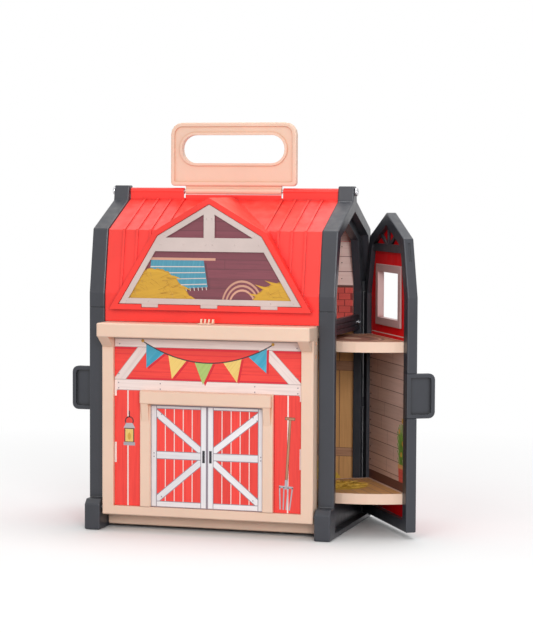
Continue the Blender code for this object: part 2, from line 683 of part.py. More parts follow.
def back_screw(name, side, share):
    """One of the screws down the edges of the back wall."""
    back = HALF_D - BACK_WALL_IN + GAP
    centre = (side * (ROOF_HALF - BACK_SCREW_R - FRAME_EDGE),
              FLOOR_FOOT_Z + (ROOF_FOOT_Z - FLOOR_FOOT_Z) * share)
    tip = back + BACK_SCREW_T
    head = cylinder(name, "Y", centre, BACK_SCREW_R, back, tip, 16)
    return cross_slot(head, "Y", centre, BACK_SCREW_R, SMALL_SLOT, tip, 1)


def ridge_rod(name):
    """Steel rod that the roof flap and the handle turn on."""
    rod = cylinder(name, "X", (0, ROD_Z), ROD_R, -HALF_W + GAP, HALF_W - GAP, 16)
    return paint(rod, "steel")


# Lifting roof

def knuckle(name, xs, web_ys, web_zs):
    """Barrel round the ridge rod with the web that joins it to its piece."""
    barrel = cylinder(name, "X", (0, ROD_Z), KNUCKLE_R, xs[0], xs[1], 16)
    fuse(barrel, box("web", xs, web_ys, web_zs))
    return barrel


def rod_bore(xs):
    return cylinder("rod_bore", "X", (0, ROD_Z), ROD_R + GAP, xs[0] - RUN, xs[1] + RUN, 12)


def roof_flap(name):
    """Front roof shell with its dormer, seams and ridge knuckles."""
    line = roof_line()
    inner = offset_line(line, -ROOF_T, False)
    front = -HALF_D - DORMER_PROUD
    flap = prism(name, line + [(RUN, line[-1][1]), (RUN, ROOF_FOOT_Z)],
                 "X", -ROOF_HALF, ROOF_HALF)
    fuse(flap, prism("dormer", dormer_outline(), "Y", front, RUN / 2))
    for i in range(FLAP_SEAMS):
        x = ROOF_HALF - SEAM_EDGE - i * SEAM_PITCH
        for side in (-1, 1):
            fuse(flap, seam([(line[0][0], DORMER_FOOT_Z)] + line[1:], side * x))
    room = [(inner[0][0], ROOF_FOOT_Z - RUN)] + inner[1:]
    room += [(2 * RUN, inner[-1][1]), (2 * RUN, ROOF_FOOT_Z - RUN)]
    cut(flap,
        dormer_trim_cut(front),
        prism("room", room, "X", -ROOF_HALF - RUN, ROOF_HALF + RUN),
        prism("dormer_room", inset(dormer_outline(), ROOF_T), "Y",
              front + ROOF_T, 3 * RUN),
        prism("window", window_outline(), "Y", front - RUN, front + 2 * ROOF_T),
        box("ridge_side", (-HALF_W, HALF_W), (-RIDGE_CLEAR, HALF_D),
            (ROOF_FOOT_Z - RUN, ROD_Z)))
    cut(flap, *window_tabs(front - RUN, front + DORMER_STEP / 2 + TAB_T + GAP, GAP))
    for side in (-1, 1):
        xs = sorted((side * (HANDLE_KNUCKLE_HALF + RUN), side * (ROOF_HALF - GAP)))
        fuse(flap, knuckle("knuckle", xs, (-KNUCKLE_R + GAP, -RIDGE_CLEAR / 2),
                           (RIDGE_Z - KNUCKLE_R, ROD_Z)))
        cut(flap, rod_bore(xs))
    fuse(flap, box("drip", (-HANDLE_KNUCKLE_HALF, HANDLE_KNUCKLE_HALF),
                   (-RIDGE_CLEAR - DRIP_T, -RIDGE_CLEAR / 2),
                   (RIDGE_Z - KNUCKLE_R, ROD_Z - KNUCKLE_R - GAP)))
    return paint(flap, "red")


def dormer_trim_cut(front):
    """Step the dormer's face back inside its raised trim."""
    field = inset(dormer_outline(), DORMER_TRIM)
    return prism("field", field, "Y", front - RUN, front + DORMER_STEP)


def window_outline():
    """The dormer window, inside the trim."""
    return inset(dormer_outline(), WINDOW_BORDER)


def window_tabs(front, back, clearance):
    """Tabs under the window that clip over the sill, or the seats for them."""
    sill = DORMER_FOOT_Z + WINDOW_BORDER
    return [box("tab", (DORMER_FOOT_HALF * share - TAB_HALF - clearance,
                        DORMER_FOOT_HALF * share + TAB_HALF + clearance),
                (front, back), (sill - TAB_H - clearance, sill + WINDOW_BORDER / 2))
            for share in TAB_SHARES]


def window_frame(name):
    """Pale frame of the dormer window with a mullion and a cross rail."""
    front = -HALF_D - DORMER_PROUD
    outer = inset(window_outline(), GAP)
    ys = (front + DORMER_STEP / 2, front + ROOF_T - GAP)
    frame = prism(name, outer, "Y", *ys)
    light = inset(outer, WINDOW_BORDER)
    panes = prism("panes", light, "Y", ys[0] - RUN, ys[1] + RUN)
    top = light[3][1]
    cut(panes,
        box("mullion", (-MULLION_W / 2, MULLION_W / 2), (ys[0] - 2 * RUN, ys[1] + 2 * RUN),
            (RAIL_Z, top + RUN)),
        box("rail", (-DORMER_FOOT_HALF, DORMER_FOOT_HALF),
            (ys[0] - 2 * RUN, ys[1] + 2 * RUN),
            (RAIL_Z - RAIL_W / 2, RAIL_Z + RAIL_W / 2)))
    cut(frame, panes)
    fuse(frame, *window_tabs(ys[0] + GAP / 3, ys[0] + TAB_T, 0))
    return paint(frame, "pale")


def window_film(name):
    """Tinted printed film behind the dormer window."""
    back = -HALF_D - DORMER_PROUD + ROOF_T + GAP
    film = prism(name, inset(window_outline(), -FILM_LAP), "Y", back, back + FILM_T)
    return paint(film, "film")


# Carry handle

def carry_handle(name):
    """Grip plate with raised rims, a finger slot and its knuckle."""
    def plate_outline(inward):
        corners = rectangle((-HANDLE_HALF + inward, HANDLE_HALF - inward),
                            (HANDLE_FOOT_Z + inward, HANDLE_TOP_Z - inward))
        low, high = (max(r - inward, FRAME_EDGE) for r in (HANDLE_FOOT_R, HANDLE_TOP_R))
        return rounded(corners, (low, low, high, high))

    def slot_outline(outward):
        top = HANDLE_TOP_Z - GRIP_BELOW_TOP
        corners = rectangle((-GRIP_HALF - outward, GRIP_HALF + outward),
                            (top - GRIP_HEIGHT - outward, top + outward))
        return rounded(corners, [GRIP_HEIGHT / 2 + outward - GAP] * 4, 6)

    plate = prism(name, plate_outline(0), "Y", -HANDLE_T / 2, HANDLE_T / 2, FRAME_EDGE)
    for side in (-1, 1):
        face = side * HANDLE_WEB_T / 2
        dish = prism("dish", plate_outline(HANDLE_RIM), "Y", face, side * (HANDLE_T / 2 + RUN))
        cut(dish, prism("collar", slot_outline(HANDLE_COLLAR), "Y", 0, side * (HANDLE_T + RUN)))
        cut(plate, dish)
    cut(plate, prism("slot", slot_outline(0), "Y", -HANDLE_T, HANDLE_T))

    xs = (-HANDLE_KNUCKLE_HALF, HANDLE_KNUCKLE_HALF)
    half_web = HANDLE_KNUCKLE_WEB / 2
    fuse(plate, knuckle("knuckle", xs, (-half_web, half_web),
                        (ROD_Z, HANDLE_FOOT_Z + FRAME_EDGE)))
    return paint(cut(plate, rod_bore(xs)), "peach")


# Front wall

def front_tray(name):
    """Front wall: posts, beam on corbels, card recess and yard recess."""
    xs = (-PANEL_HALF, PANEL_HALF)
    tray = box(name, xs, (PANEL_FRONT, PANEL_REAR), (PANEL_FOOT_Z, BEAM_TOP_Z), PANEL_EDGE, 1)
    beam = box("beam", xs, (BEAM_FRONT, PANEL_FRONT + PANEL_PROUD / 2),
               (BEAM_FOOT_Z, BEAM_TOP_Z), PANEL_EDGE, 1)
    root, tip = PANEL_FRONT + PANEL_EDGE, BEAM_FRONT + PANEL_EDGE
    corbel = [(root, BEAM_FOOT_Z + PANEL_EDGE), (tip, BEAM_FOOT_Z + PANEL_EDGE),
              (tip, BEAM_FOOT_Z), (PANEL_FRONT, BEAM_FOOT_Z - CORBEL_DROP),
              (root, BEAM_FOOT_Z - CORBEL_DROP)]
    fuse(tray, beam)
    card_half = PANEL_HALF - PANEL_POST_W
    for side in (-1, 1):
        fuse(tray, prism("corbel", corbel, "X",
                         *sorted((side * card_half, side * (PANEL_HALF - PANEL_EDGE)))))
    floor_y = PANEL_FRONT + CARD_RECESS + CARD_T + GAP
    cut(tray,
        box("card_recess", (-card_half, card_half), (PANEL_FRONT - RUN, floor_y),
            (PANEL_FOOT_Z + PANEL_SILL, BEAM_FOOT_Z)),
        box("yard_recess", (-PANEL_HALF + YARD_RIM, PANEL_HALF - YARD_RIM),
            (PANEL_REAR - YARD_RECESS, PANEL_REAR + RUN),
            (PANEL_FOOT_Z + YARD_RIM * 2, BEAM_TOP_Z - YARD_RIM)))
    for side in (-1, 1):
        for drop in NOTCH_DROPS:
            top = BEAM_FOOT_Z - drop
            cut(tray, box("notch", sorted((side * (PANEL_HALF - NOTCH_DEPTH),
                                           side * (PANEL_HALF + RUN))),
                          [PANEL_FRONT + PANEL_PROUD * share for share in NOTCH_SHARES],
                          (top - NOTCH_H, top)))
        cut(tray, cylinder("pin_bore", "X", (PIVOT_Y, PANEL_AXIS_Z), PIN_R + GAP,
                           side * (PANEL_HALF - PIN_IN_PANEL - GAP),
                           side * (PANEL_HALF + RUN), 12))
    return paint(tray, "peach")


def front_card(name):
    """Printed card with the barn front, behind the posts."""
    half = PANEL_HALF - PANEL_POST_W - GAP
    face = PANEL_FRONT + CARD_RECESS
    card = box(name, (-half, half), (face, face + CARD_T),
               (PANEL_FOOT_Z + PANEL_SILL + GAP, BEAM_FOOT_Z - GAP))
    return paint(card, "card_red")


def yard_card(name):
    """Green yard insert, seen when the front wall is down."""
    face = PANEL_REAR - YARD_RECESS + GAP
    card = box(name, (-PANEL_HALF + YARD_RIM + GAP, PANEL_HALF - YARD_RIM - GAP),
               (face, face + YARD_CARD_T),
               (PANEL_FOOT_Z + YARD_RIM * 2 + GAP, BEAM_TOP_Z - YARD_RIM - GAP))
    return paint(card, "green")


def door_surround(name):
    """Lintel, two posts and their brackets round the doors."""
    back = PANEL_FRONT + CARD_RECESS - GAP
    foot = PANEL_FOOT_Z + PANEL_SILL + GAP
    portal = [(-PORTAL_OUTER, foot), (-PORTAL_INNER, foot), (-PORTAL_INNER, LINTEL_FOOT_Z),
              (PORTAL_INNER, LINTEL_FOOT_Z), (PORTAL_INNER, foot), (PORTAL_OUTER, foot),
              (PORTAL_OUTER, LINTEL_TOP_Z), (-PORTAL_OUTER, LINTEL_TOP_Z)]
    surround = prism(name, portal, "Y", back - PORTAL_PROUD, back, PANEL_EDGE / 2, 1)
    lintel = box("lintel", (-PORTAL_OUTER + PANEL_EDGE, PORTAL_OUTER - PANEL_EDGE),
                 (back - LINTEL_PROUD, back - PANEL_EDGE),
                 (LINTEL_FOOT_Z + GAP, LINTEL_TOP_Z - GAP), PANEL_EDGE, 1)
    fuse(surround, lintel)
    root, tip = back - PORTAL_PROUD / 2, back - LINTEL_PROUD + PANEL_EDGE
    bracket = [(root, LINTEL_FOOT_Z - BRACKET), (root, LINTEL_FOOT_Z + PANEL_EDGE * 2),
               (tip, LINTEL_FOOT_Z + PANEL_EDGE * 2), (tip, LINTEL_FOOT_Z),
               (back - PORTAL_PROUD, LINTEL_FOOT_Z - BRACKET)]
    for side in (-1, 1):
        fuse(surround, prism("bracket", bracket, "X", *sorted(
            (side * (PORTAL_INNER + PANEL_EDGE), side * (PORTAL_OUTER - PANEL_EDGE * 2)))))
    return paint(surround, "peach")


def centre_catch(name):
    """Ribbed thumb catch on top of the beam, in front of the roof."""
    ys = (-HALF_D - CATCH_FRONT, -HALF_D - CATCH_BACK)
    foot = BEAM_TOP_Z + GAP
    low = foot + (CATCH_TOP_Z - foot) / 5
    catch = box(name, (-CATCH_HALF, CATCH_HALF), ys, (foot, low))
    fin = [(ys[1] - CATCH_DEPTH, foot + GAP), (ys[1], foot + GAP), (ys[1], CATCH_TOP_Z),
           (ys[1] - CATCH_DEPTH / 2, CATCH_TOP_Z)]
    pitch = (2 * CATCH_HALF - CATCH_RIB_T) / (CATCH_RIBS - 1)
    for i in range(CATCH_RIBS):
        x = -CATCH_HALF + pitch * i
        fuse(catch, prism("rib", fin, "X", x, x + CATCH_RIB_T))
    return paint(catch, "peach")


def front_pin(name, side):
    """Steel pin between the front wall and a toe of the side frame."""
    pin = cylinder(name, "X", (PIVOT_Y, PANEL_AXIS_Z), PIN_R,
                   side * (PANEL_HALF - PIN_IN_PANEL), side * (FRAME_IN + PIN_IN_FRAME), 16)
    return paint(pin, "steel")


# Side walls, modelled closed and then swung on their hinges

def fan_light(side):
    """Base band and three rays in the gable of a side wall."""
    xs = sorted((side * (WALL_IN + WALL_RECESS - FAN_DEPTH), side * (WALL_IN + WALL_RECESS - GAP)))
    ring = inset(wall_outline(), WALL_RING - FRAME_EDGE)
    bars = [box("fan_base", xs, (-WALL_KNEE_Y + WALL_RING / 2, WALL_KNEE_Y - WALL_RING / 2),
                (FAN_BASE_Z, FAN_BASE_Z + FAN_BAR))]
    reach = WALL_RIDGE_Z - FAN_BASE_Z - FAN_BAR / 2
    for angle, share in FAN_RAYS:
        hub = Vector((0, FAN_BASE_Z + FAN_BAR / 2))
        tip = hub + Vector((math.cos(angle), math.sin(angle))) * (reach * share)
        bars.append(prism("ray", bar(hub, tip, FAN_BAR * FAN_RAY_SHARE), "X", *xs))
    fan = bars[0]
    fuse(fan, *bars[1:])
    return combine(fan, [prism("gable", ring, "X", side * (WALL_IN - RUN), side * (WALL_OUT + RUN))],
                   'INTERSECT')


def wall_frame(name, side):
    """Gambrel ring with its hinge barrel, fan light and lug notches."""
    frame = prism(name, wall_outline(), "X", side * WALL_IN, side * WALL_OUT, FRAME_EDGE)
    cut(frame, prism("light", inset(wall_outline(), WALL_RING), "X",
                     side * (WALL_IN - RUN), side * (WALL_OUT + RUN)))
    barrel = WALL_T / 2
    axis = (side * AXIS_X, AXIS_Y)
    fuse(frame, fan_light(side),
         cylinder("barrel", "Z", axis, barrel, WALL_FOOT_Z, WALL_EAVE_Z))
    for foot in LUG_FEET:
        cut(frame, cylinder("notch", "Z", axis, barrel + LUG_CLEAR,
                            foot - GAP, foot + LUG_H + GAP))
    cut(frame, cylinder("pin_bore", "Z", axis, WALL_PIN_R + GAP, 0, WALL_RIDGE_Z, 12),
        box("pull_seat", sorted((side * (WALL_IN - RUN), side * (WALL_OUT + RUN))),
            (-FREE_Y - RUN, -FREE_Y + PULL_T + GAP), (PULL_FOOT_Z - GAP, PULL_TOP_Z + GAP)),
        edge_slot(side))
    return paint(frame, "charcoal")


def edge_slot(side):
    """Shallow slot along the leaning part of the free edge."""
    lean = (FREE_Y - WALL_KNEE_Y) / (WALL_KNEE_Z - WALL_EAVE_Z)
    line = [(-FREE_Y + (z - WALL_EAVE_Z) * lean, z)
            for z in (WALL_EAVE_Z + EDGE_SLOT_FOOT, WALL_EAVE_Z + EDGE_SLOT_TOP)]
    outline = [(y - RUN, z) for y, z in line] + [(y + EDGE_SLOT_DEPTH, z) for y, z in line[::-1]]
    return prism("edge_slot", outline, "X",
                 *sorted((side * (AXIS_X - EDGE_SLOT_HALF), side * (AXIS_X + EDGE_SLOT_HALF))))


def wall_panel(name, side):
    """Boarded panel in the ring, with the window hole."""
    xs = sorted((side * (WALL_IN + WALL_RECESS), side * (WALL_IN + WALL_RECESS + WALL_PANEL_T)))
    panel = prism(name, inset(wall_outline(), WALL_RING + GAP), "X", *xs)
    hole = WINDOW_HALF - WINDOW_RAIL / 2
    cut(panel, box("hole", (xs[0] - RUN, xs[1] + RUN), (-hole, hole),
                   (WINDOW_FOOT_Z + WINDOW_RAIL / 2, WINDOW_TOP_Z - WINDOW_RAIL / 2)))
    outer = WALL_IN + WALL_RECESS + WALL_PANEL_T
    for i in range(-WALL_GROOVES, WALL_GROOVES + 1):
        y = i * BOARD_PITCH
        cut(panel, box("groove", sorted((side * (outer - GROOVE_DEPTH), side * (outer + RUN))),
                       (y - GROOVE_DEPTH, y + GROOVE_DEPTH), (0, RIDGE_Z)))
    ys = (-FREE_Y + WALL_RING + BRACE_W, AXIS_Y - WALL_RING - BRACE_W)
    zs = (WALL_FOOT_Z + WALL_RING + BRACE_W, SHELF_FOOT_Z - BRACE_W)
    for i, ends in enumerate((((ys[0], zs[0]), (ys[1], zs[1])), ((ys[0], zs[1]), (ys[1], zs[0])))):
        raised = sorted((side * (outer - WALL_PANEL_T / 2), side * (outer + BRACE_H + i * GAP / 2)))
        fuse(panel, prism("brace", bar(*ends, BRACE_W / 2), "X", *raised))
    fuse(panel, box("belt", sorted((side * (outer - WALL_PANEL_T / 3), side * (outer + BRACE_H + GAP))),
                    (ys[0] - BRACE_W / 2, ys[1] + BRACE_W / 2), (zs[1], zs[1] + BRACE_W)))
    return paint(panel, "dark_red")


def wall_window(name, side):
    """Pale window frame that clips through the panel."""
    panel_in = WALL_IN + WALL_RECESS
    proud = WALL_RECESS - WINDOW_FRAME_LAP
    xs = sorted((side * (panel_in - proud), side * (panel_in - GAP)))
    frame = prism(name, rectangle((-WINDOW_HALF, WINDOW_HALF), (WINDOW_FOOT_Z, WINDOW_TOP_Z)),
                  "X", *xs, PANEL_EDGE / 2, 1)
    hole = WINDOW_HALF - WINDOW_RAIL / 2 - GAP
    zs = (WINDOW_FOOT_Z + WINDOW_RAIL / 2 + GAP, WINDOW_TOP_Z - WINDOW_RAIL / 2 - GAP)
    sleeve = sorted((side * (panel_in - proud / 2), side * (panel_in + WALL_PANEL_T * 2)))
    fuse(frame, prism("sleeve", rectangle((-hole, hole), zs), "X", *sleeve))
    light = WINDOW_HALF - WINDOW_RAIL
    cut(frame, box("light", (min(xs) - WALL_T, max(xs) + WALL_T), (-light, light),
                   (WINDOW_FOOT_Z + WINDOW_RAIL, WINDOW_TOP_Z - WINDOW_RAIL)))
    return paint(frame, "pale")


def wall_card(name, side):
    """Printed card on the lower half of the panel."""
    face = WALL_IN + WALL_RECESS - GAP
    half = (AXIS_Y + FREE_Y) / 2 - WALL_RING - 2 * GAP
    middle = (AXIS_Y - FREE_Y) / 2
    card = box(name, sorted((side * (face - CARD_T), side * face)),
               (middle - half, middle + half), (TRAY_TOP_Z + GAP, SHELF_FOOT_Z - GAP))
    return paint(card, "card_tan")


def quarter_outline(side, inward):
    """Rounded shelf outline in X and Y, shrunk inward from its rim."""
    root = WALL_IN + WALL_RECESS - GAP - inward
    back = AXIS_Y - WALL_RING - 2 * GAP - inward
    length = AXIS_Y + FREE_Y - 2 * (WALL_RING + 2 * GAP) - 2 * inward
    reach = SHELF_REACH + WALL_RECESS - 2 * inward
    steps = 14
    arc = [(side * (root - reach * math.sin(math.pi / 2 * i / steps)),
            back - length * math.cos(math.pi / 2 * i / steps)) for i in range(steps + 1)]
    return [(side * root, back)] + arc


def quarter_shelf(name, side, foot, top):
    """Tray-like shelf with a rim, hollow underneath."""
    shelf = prism(name, quarter_outline(side, 0), "Z", foot, top)
    core = quarter_outline(side, SHELF_RIM)
    cut(shelf,
        prism("dish", core, "Z", top - SHELF_CARD_T - GAP, top + RUN),
        prism("under", core, "Z", foot - RUN, top - SHELF_CARD_T - GAP - SHELF_FLOOR_T))
    return paint(shelf, "peach")


def shelf_card(name, side, top):
    """Printed card in the dish of a shelf."""
    foot = top - SHELF_CARD_T
    card = prism(name, quarter_outline(side, SHELF_RIM + GAP), "Z", foot, foot + SHELF_CARD_T - GAP / 2)
    return paint(card, "card_tan")


def wall_pull(name, side):
    """Dished finger pull on the free edge of a side wall."""
    root = WALL_IN
    tip = WALL_IN + PULL_REACH
    ys = (-FREE_Y, -FREE_Y + PULL_T)
    corners = rectangle((root, tip), (PULL_FOOT_Z, PULL_TOP_Z))
    small = PANEL_EDGE
    outline = rounded(corners, (small, PULL_R, PULL_R, small))
    if side < 0:
        outline = [(-x, z) for x, z in outline][::-1]
    pull = prism(name, outline, "Y", *ys, PANEL_EDGE / 2, 1)
    dish = rounded(rectangle((root + PULL_RIM, tip - PULL_RIM),
                             (PULL_FOOT_Z + PULL_RIM, PULL_TOP_Z - PULL_RIM)),
                   (small, PULL_R / 2, PULL_R / 2, small))
    if side < 0:
        dish = [(-x, z) for x, z in dish][::-1]
    cut(pull, prism("dish", dish, "Y", ys[0] - RUN, ys[0] + PULL_DISH))
    return paint(pull, "charcoal")


def wall_pin(name, side):
    """Steel pin down the hinge of a side wall."""
    top = LUG_FEET[-1] + LUG_H
    pin = cylinder(name, "Z", (side * AXIS_X, AXIS_Y), WALL_PIN_R, FLOOR_T + GAP, top, 12)
    return paint(pin, "steel")


# Assembly

def build_barn():
    side_frame("side_frame_right", 1)
    side_frame("side_frame_left", -1)
    sill_rail("sill_rail_right", 1)
    sill_rail("sill_rail_left", -1)
    base_floor("base_floor")
    loft_floor("loft_floor")
    back_wall("back_wall")
    back_card("back_card")
    loft_card("loft_card")
    roof_rear("roof_rear")
    ridge_rod("ridge_rod")
    for label, side in (("right", 1), ("left", -1)):
        ridge_screw("ridge_screw_" + label, side)
        rail_screw("rail_screw_" + label, side)
        for row, share in enumerate(BACK_SCREW_SHARES):
            back_screw(f"back_screw_{label}_{row + 1}", side, share)


def build_roof_flap():
    pieces = [roof_flap("roof_flap"), window_frame("window_frame"), window_film("window_film")]
    hang(pieces, hinge_at("roof_hinge", (0, 0, ROD_Z)))
    hang([carry_handle("carry_handle")], hinge_at("handle_hinge", (0, 0, ROD_Z)))


def build_front_wall():
    pieces = [front_tray("front_tray"), front_card("front_card"), yard_card("yard_card"),
              door_surround("door_surround"), centre_catch("centre_catch"),
              front_pin("front_pin_right", 1), front_pin("front_pin_left", -1)]
    hang(pieces, hinge_at("front_hinge", (0, PIVOT_Y, PANEL_AXIS_Z)))


def build_side_wall(label, side, with_shelf, angle):
    pieces = [wall_frame("wall_frame_" + label, side),
              wall_panel("wall_panel_" + label, side),
              wall_window("wall_window_" + label, side),
              wall_card("wall_card_" + label, side),
              quarter_shelf("wall_floor_" + label, side, TRAY_FOOT_Z, TRAY_TOP_Z),
              shelf_card("floor_card_" + label, side, TRAY_TOP_Z),
              wall_pull("wall_pull_" + label, side),
              wall_pin("wall_pin_" + label, side)]
    if with_shelf:
        pieces.append(quarter_shelf("wall_shelf_" + label, side, SHELF_FOOT_Z, SHELF_TOP_Z))
        pieces.append(shelf_card("shelf_card_" + label, side, SHELF_TOP_Z))
    hinge = hinge_at("wall_hinge_" + label, (side * AXIS_X, AXIS_Y, 0))
    hang(pieces, hinge)
    hinge.rotation_euler.z = side * angle


clear_scene()
build_barn()
build_roof_flap()
build_front_wall()
build_side_wall("right", 1, True, WALL_REST_ANGLE)
build_side_wall("left", -1, False, 0.0)
bpy.context.view_layer.update()
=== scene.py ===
# %% [markdown]
# # Dressing a toy barn
#
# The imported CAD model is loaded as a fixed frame, and this script gives it its
# looks: moulded plastic with soft edges, printed cards in the walls and floors,
# a tinted window film, hay and grass made with Geometry Nodes, a camera, a pale
# studio and soft light.  Everything is in metres, with +Z up and -Y at the front.

# %%
import json
import math
import random

import bmesh
import bpy
from mathutils import Matrix, Vector


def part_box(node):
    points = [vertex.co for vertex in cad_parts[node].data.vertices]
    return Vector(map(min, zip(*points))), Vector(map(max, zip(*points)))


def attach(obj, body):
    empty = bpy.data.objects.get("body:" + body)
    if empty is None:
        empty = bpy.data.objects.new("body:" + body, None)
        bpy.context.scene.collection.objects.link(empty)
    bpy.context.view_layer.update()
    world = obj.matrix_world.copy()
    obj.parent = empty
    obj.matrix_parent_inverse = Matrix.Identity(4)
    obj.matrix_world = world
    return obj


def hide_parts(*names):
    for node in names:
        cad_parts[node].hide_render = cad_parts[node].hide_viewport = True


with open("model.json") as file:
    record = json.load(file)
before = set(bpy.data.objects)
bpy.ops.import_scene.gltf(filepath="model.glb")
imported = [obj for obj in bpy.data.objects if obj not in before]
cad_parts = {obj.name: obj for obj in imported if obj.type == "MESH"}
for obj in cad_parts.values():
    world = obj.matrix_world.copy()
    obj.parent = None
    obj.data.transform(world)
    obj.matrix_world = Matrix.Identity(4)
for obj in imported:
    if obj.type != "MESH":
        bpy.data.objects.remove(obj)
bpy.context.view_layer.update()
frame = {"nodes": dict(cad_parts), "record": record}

MM = 0.001


def add_object(name, data):
    """A new object in the scene, at the origin and unturned."""
    obj = bpy.data.objects.new(name, data)
    bpy.context.scene.collection.objects.link(obj)
    return obj


print("nodes:", len(frame["nodes"]))

# %% [markdown]
# ## The camera
#
# The place of the camera was solved from the corners of the side frames, the
# dormer, the beam, the handle and the open wall.  `FOCAL_PX` is the focal length
# in pixels of a picture 533 wide and 633 high.  Blender's sensor width belongs to
# the longer side of the picture, so the lens is `FOCAL_PX * 36 / 633`.

# %%
CAMERA_PLACE = Vector((629.7, -2015.3, 339.7)) * MM
YAW, PITCH, ROLL = 0.28714, 0.06264, 0.00435
FOCAL_PX = 2109.0
PICTURE = (533, 633)


def make_camera():
    """Camera looking along +Y, turned by yaw, pitch and roll."""
    data = bpy.data.cameras.new("camera")
    data.sensor_width = 36.0
    data.lens = FOCAL_PX * data.sensor_width / max(PICTURE)
    data.clip_start, data.clip_end = 0.05, 50.0
    camera = add_object("camera", data)
    forward = Vector((-math.sin(YAW) * math.cos(PITCH),
                      math.cos(YAW) * math.cos(PITCH), -math.sin(PITCH)))
    right = Vector((math.cos(YAW), math.sin(YAW), 0))
    up = right.cross(forward)
    right, up = (right * math.cos(ROLL) + up * math.sin(ROLL),
                 up * math.cos(ROLL) - right * math.sin(ROLL))
    turn = Matrix((right, up, -forward)).transposed().to_4x4()
    camera.matrix_world = Matrix.Translation(CAMERA_PLACE) @ turn
    bpy.context.scene.camera = camera


make_camera()
print("lens: %.1f mm" % bpy.context.scene.camera.data.lens)

# %% [markdown]
# ## Colours
#
# Colours are written as they look on a screen and turned into the linear values
# that shaders use.

# %%
def rgb(red, green, blue):
    """Screen colour from 0 to 255 to a linear colour with alpha."""
    def linear(value):
        value = value / 255
        return value / 12.92 if value <= 0.04045 else ((value + 0.055) / 1.055) ** 2.4
    return (linear(red), linear(green), linear(blue), 1.0)

# %% [markdown]
# ## A short way to write node trees
#
# `Tree` adds a node, sets its options and fills its inputs in one line.  An input
# that gets a socket is linked, and any other value is written into it.

# %%
class Tree:
    """Adds nodes and links to a node tree."""

    def __init__(self, tree):
        self.tree = tree

    def add(self, kind, inputs=None, **options):
        node = self.tree.nodes.new(kind)
        for name, value in options.items():
            setattr(node, name, value)
        self.fill(node.inputs, inputs or {})
        return node

    def fill(self, sockets, values):
        for key, value in values.items():
            if isinstance(value, bpy.types.NodeSocket):
                self.tree.links.new(value, sockets[key])
            else:
                sockets[key].default_value = value

    def scale(self, vector, factor):
        return self.add('ShaderNodeVectorMath', {0: vector, "Scale": factor},
                        operation='SCALE').outputs[0]

    def math(self, operation, a, b=0.0, clamp=False):
        return self.add('ShaderNodeMath', {0: a, 1: b}, operation=operation,
                        use_clamp=clamp).outputs[0]

    def times(self, a, b):
        return self.math('MULTIPLY', a, b)

    def mix(self, factor, a, b):
        return self.add('ShaderNodeMix', {0: factor, 6: a, 7: b}, data_type='RGBA').outputs[2]

    def ramp(self, value, low, high, to_low=0.0, to_high=1.0):
        return self.add('ShaderNodeMapRange', {
            "Value": value, "From Min": low, "From Max": high,
            "To Min": to_low, "To Max": to_high}).outputs[0]

    def seen(self):
        """1 for what the camera, a reflection or a clear piece sees, else 0."""
        path = self.add('ShaderNodeLightPath').outputs
        either = self.math('MAXIMUM', path["Is Camera Ray"], path["Is Glossy Ray"])
        return self.math('MAXIMUM', either, path["Is Transmission Ray"])

    def noise(self, place, scale, detail=3.0):
        return self.add('ShaderNodeTexNoise', {
            "Vector": place, "Scale": scale, "Detail": detail}).outputs[0]

    def place(self):
        return self.add('ShaderNodeTexCoord').outputs["Object"]

    def bump(self, height, strength, distance, **more):
        return self.add('ShaderNodeBump', {"Strength": strength, "Distance": distance,
                                           "Height": height, **more}).outputs[0]


def new_group(kind, name, inputs, outputs):
    """An empty node group with named sockets; returns its tree, inputs and outputs."""
    group = bpy.data.node_groups.new(name, kind)
    for way, rows in (('INPUT', inputs), ('OUTPUT', outputs)):
        for label, socket_type, *value in rows:
            socket = group.interface.new_socket(label, in_out=way, socket_type=socket_type)
            if value:
                socket.default_value = value[0]
    tree = Tree(group)
    return group, tree, tree.add('NodeGroupInput').outputs, tree.add('NodeGroupOutput').inputs


def new_material(name):
    """A new material, its tree and its shader."""
    material = bpy.data.materials.new(name)
    material.use_nodes = True
    return material, Tree(material.node_tree), material.node_tree.nodes["Principled BSDF"]


def grouped_material(name, group, given, on_shader):
    """A material whose colour, roughness and normal come from a shared group."""
    material, tree, shader = new_material(name)
    skin = tree.add('ShaderNodeGroup', given, node_tree=group).outputs
    tree.fill(shader.inputs, {"Base Color": skin["Color"], "Roughness": skin["Roughness"],
                              "Normal": skin["Normal"], **on_shader})
    return material


COLOR, FLOAT, VECTOR = 'NodeSocketColor', 'NodeSocketFloat', 'NodeSocketVector'
SKIN = [("Color", COLOR), ("Roughness", FLOAT), ("Normal", VECTOR)]

# %% [markdown]
# ## Moulded plastic
#
# Injection-moulded parts have softly rounded edges, a faint satin texture, and a
# little dust and rubbing from play.  The group below gives all of it, and paints
# some highlight and shade as well:
#
# - the Bevel node rounds the shading of every edge,
# - the difference between the rounded and the flat normal marks the edges, which
#   are lighter: partly rubbing from play, partly a painted highlight,
# - recessed corners and creases get a deeper, darker colour, which is painted shade,
# - one coarse noise makes the pigment uneven, one fine noise is the mould texture,
# - faces that point up gather a thin film of dust.

# %%
DUST_COLOR = rgb(205, 200, 192)


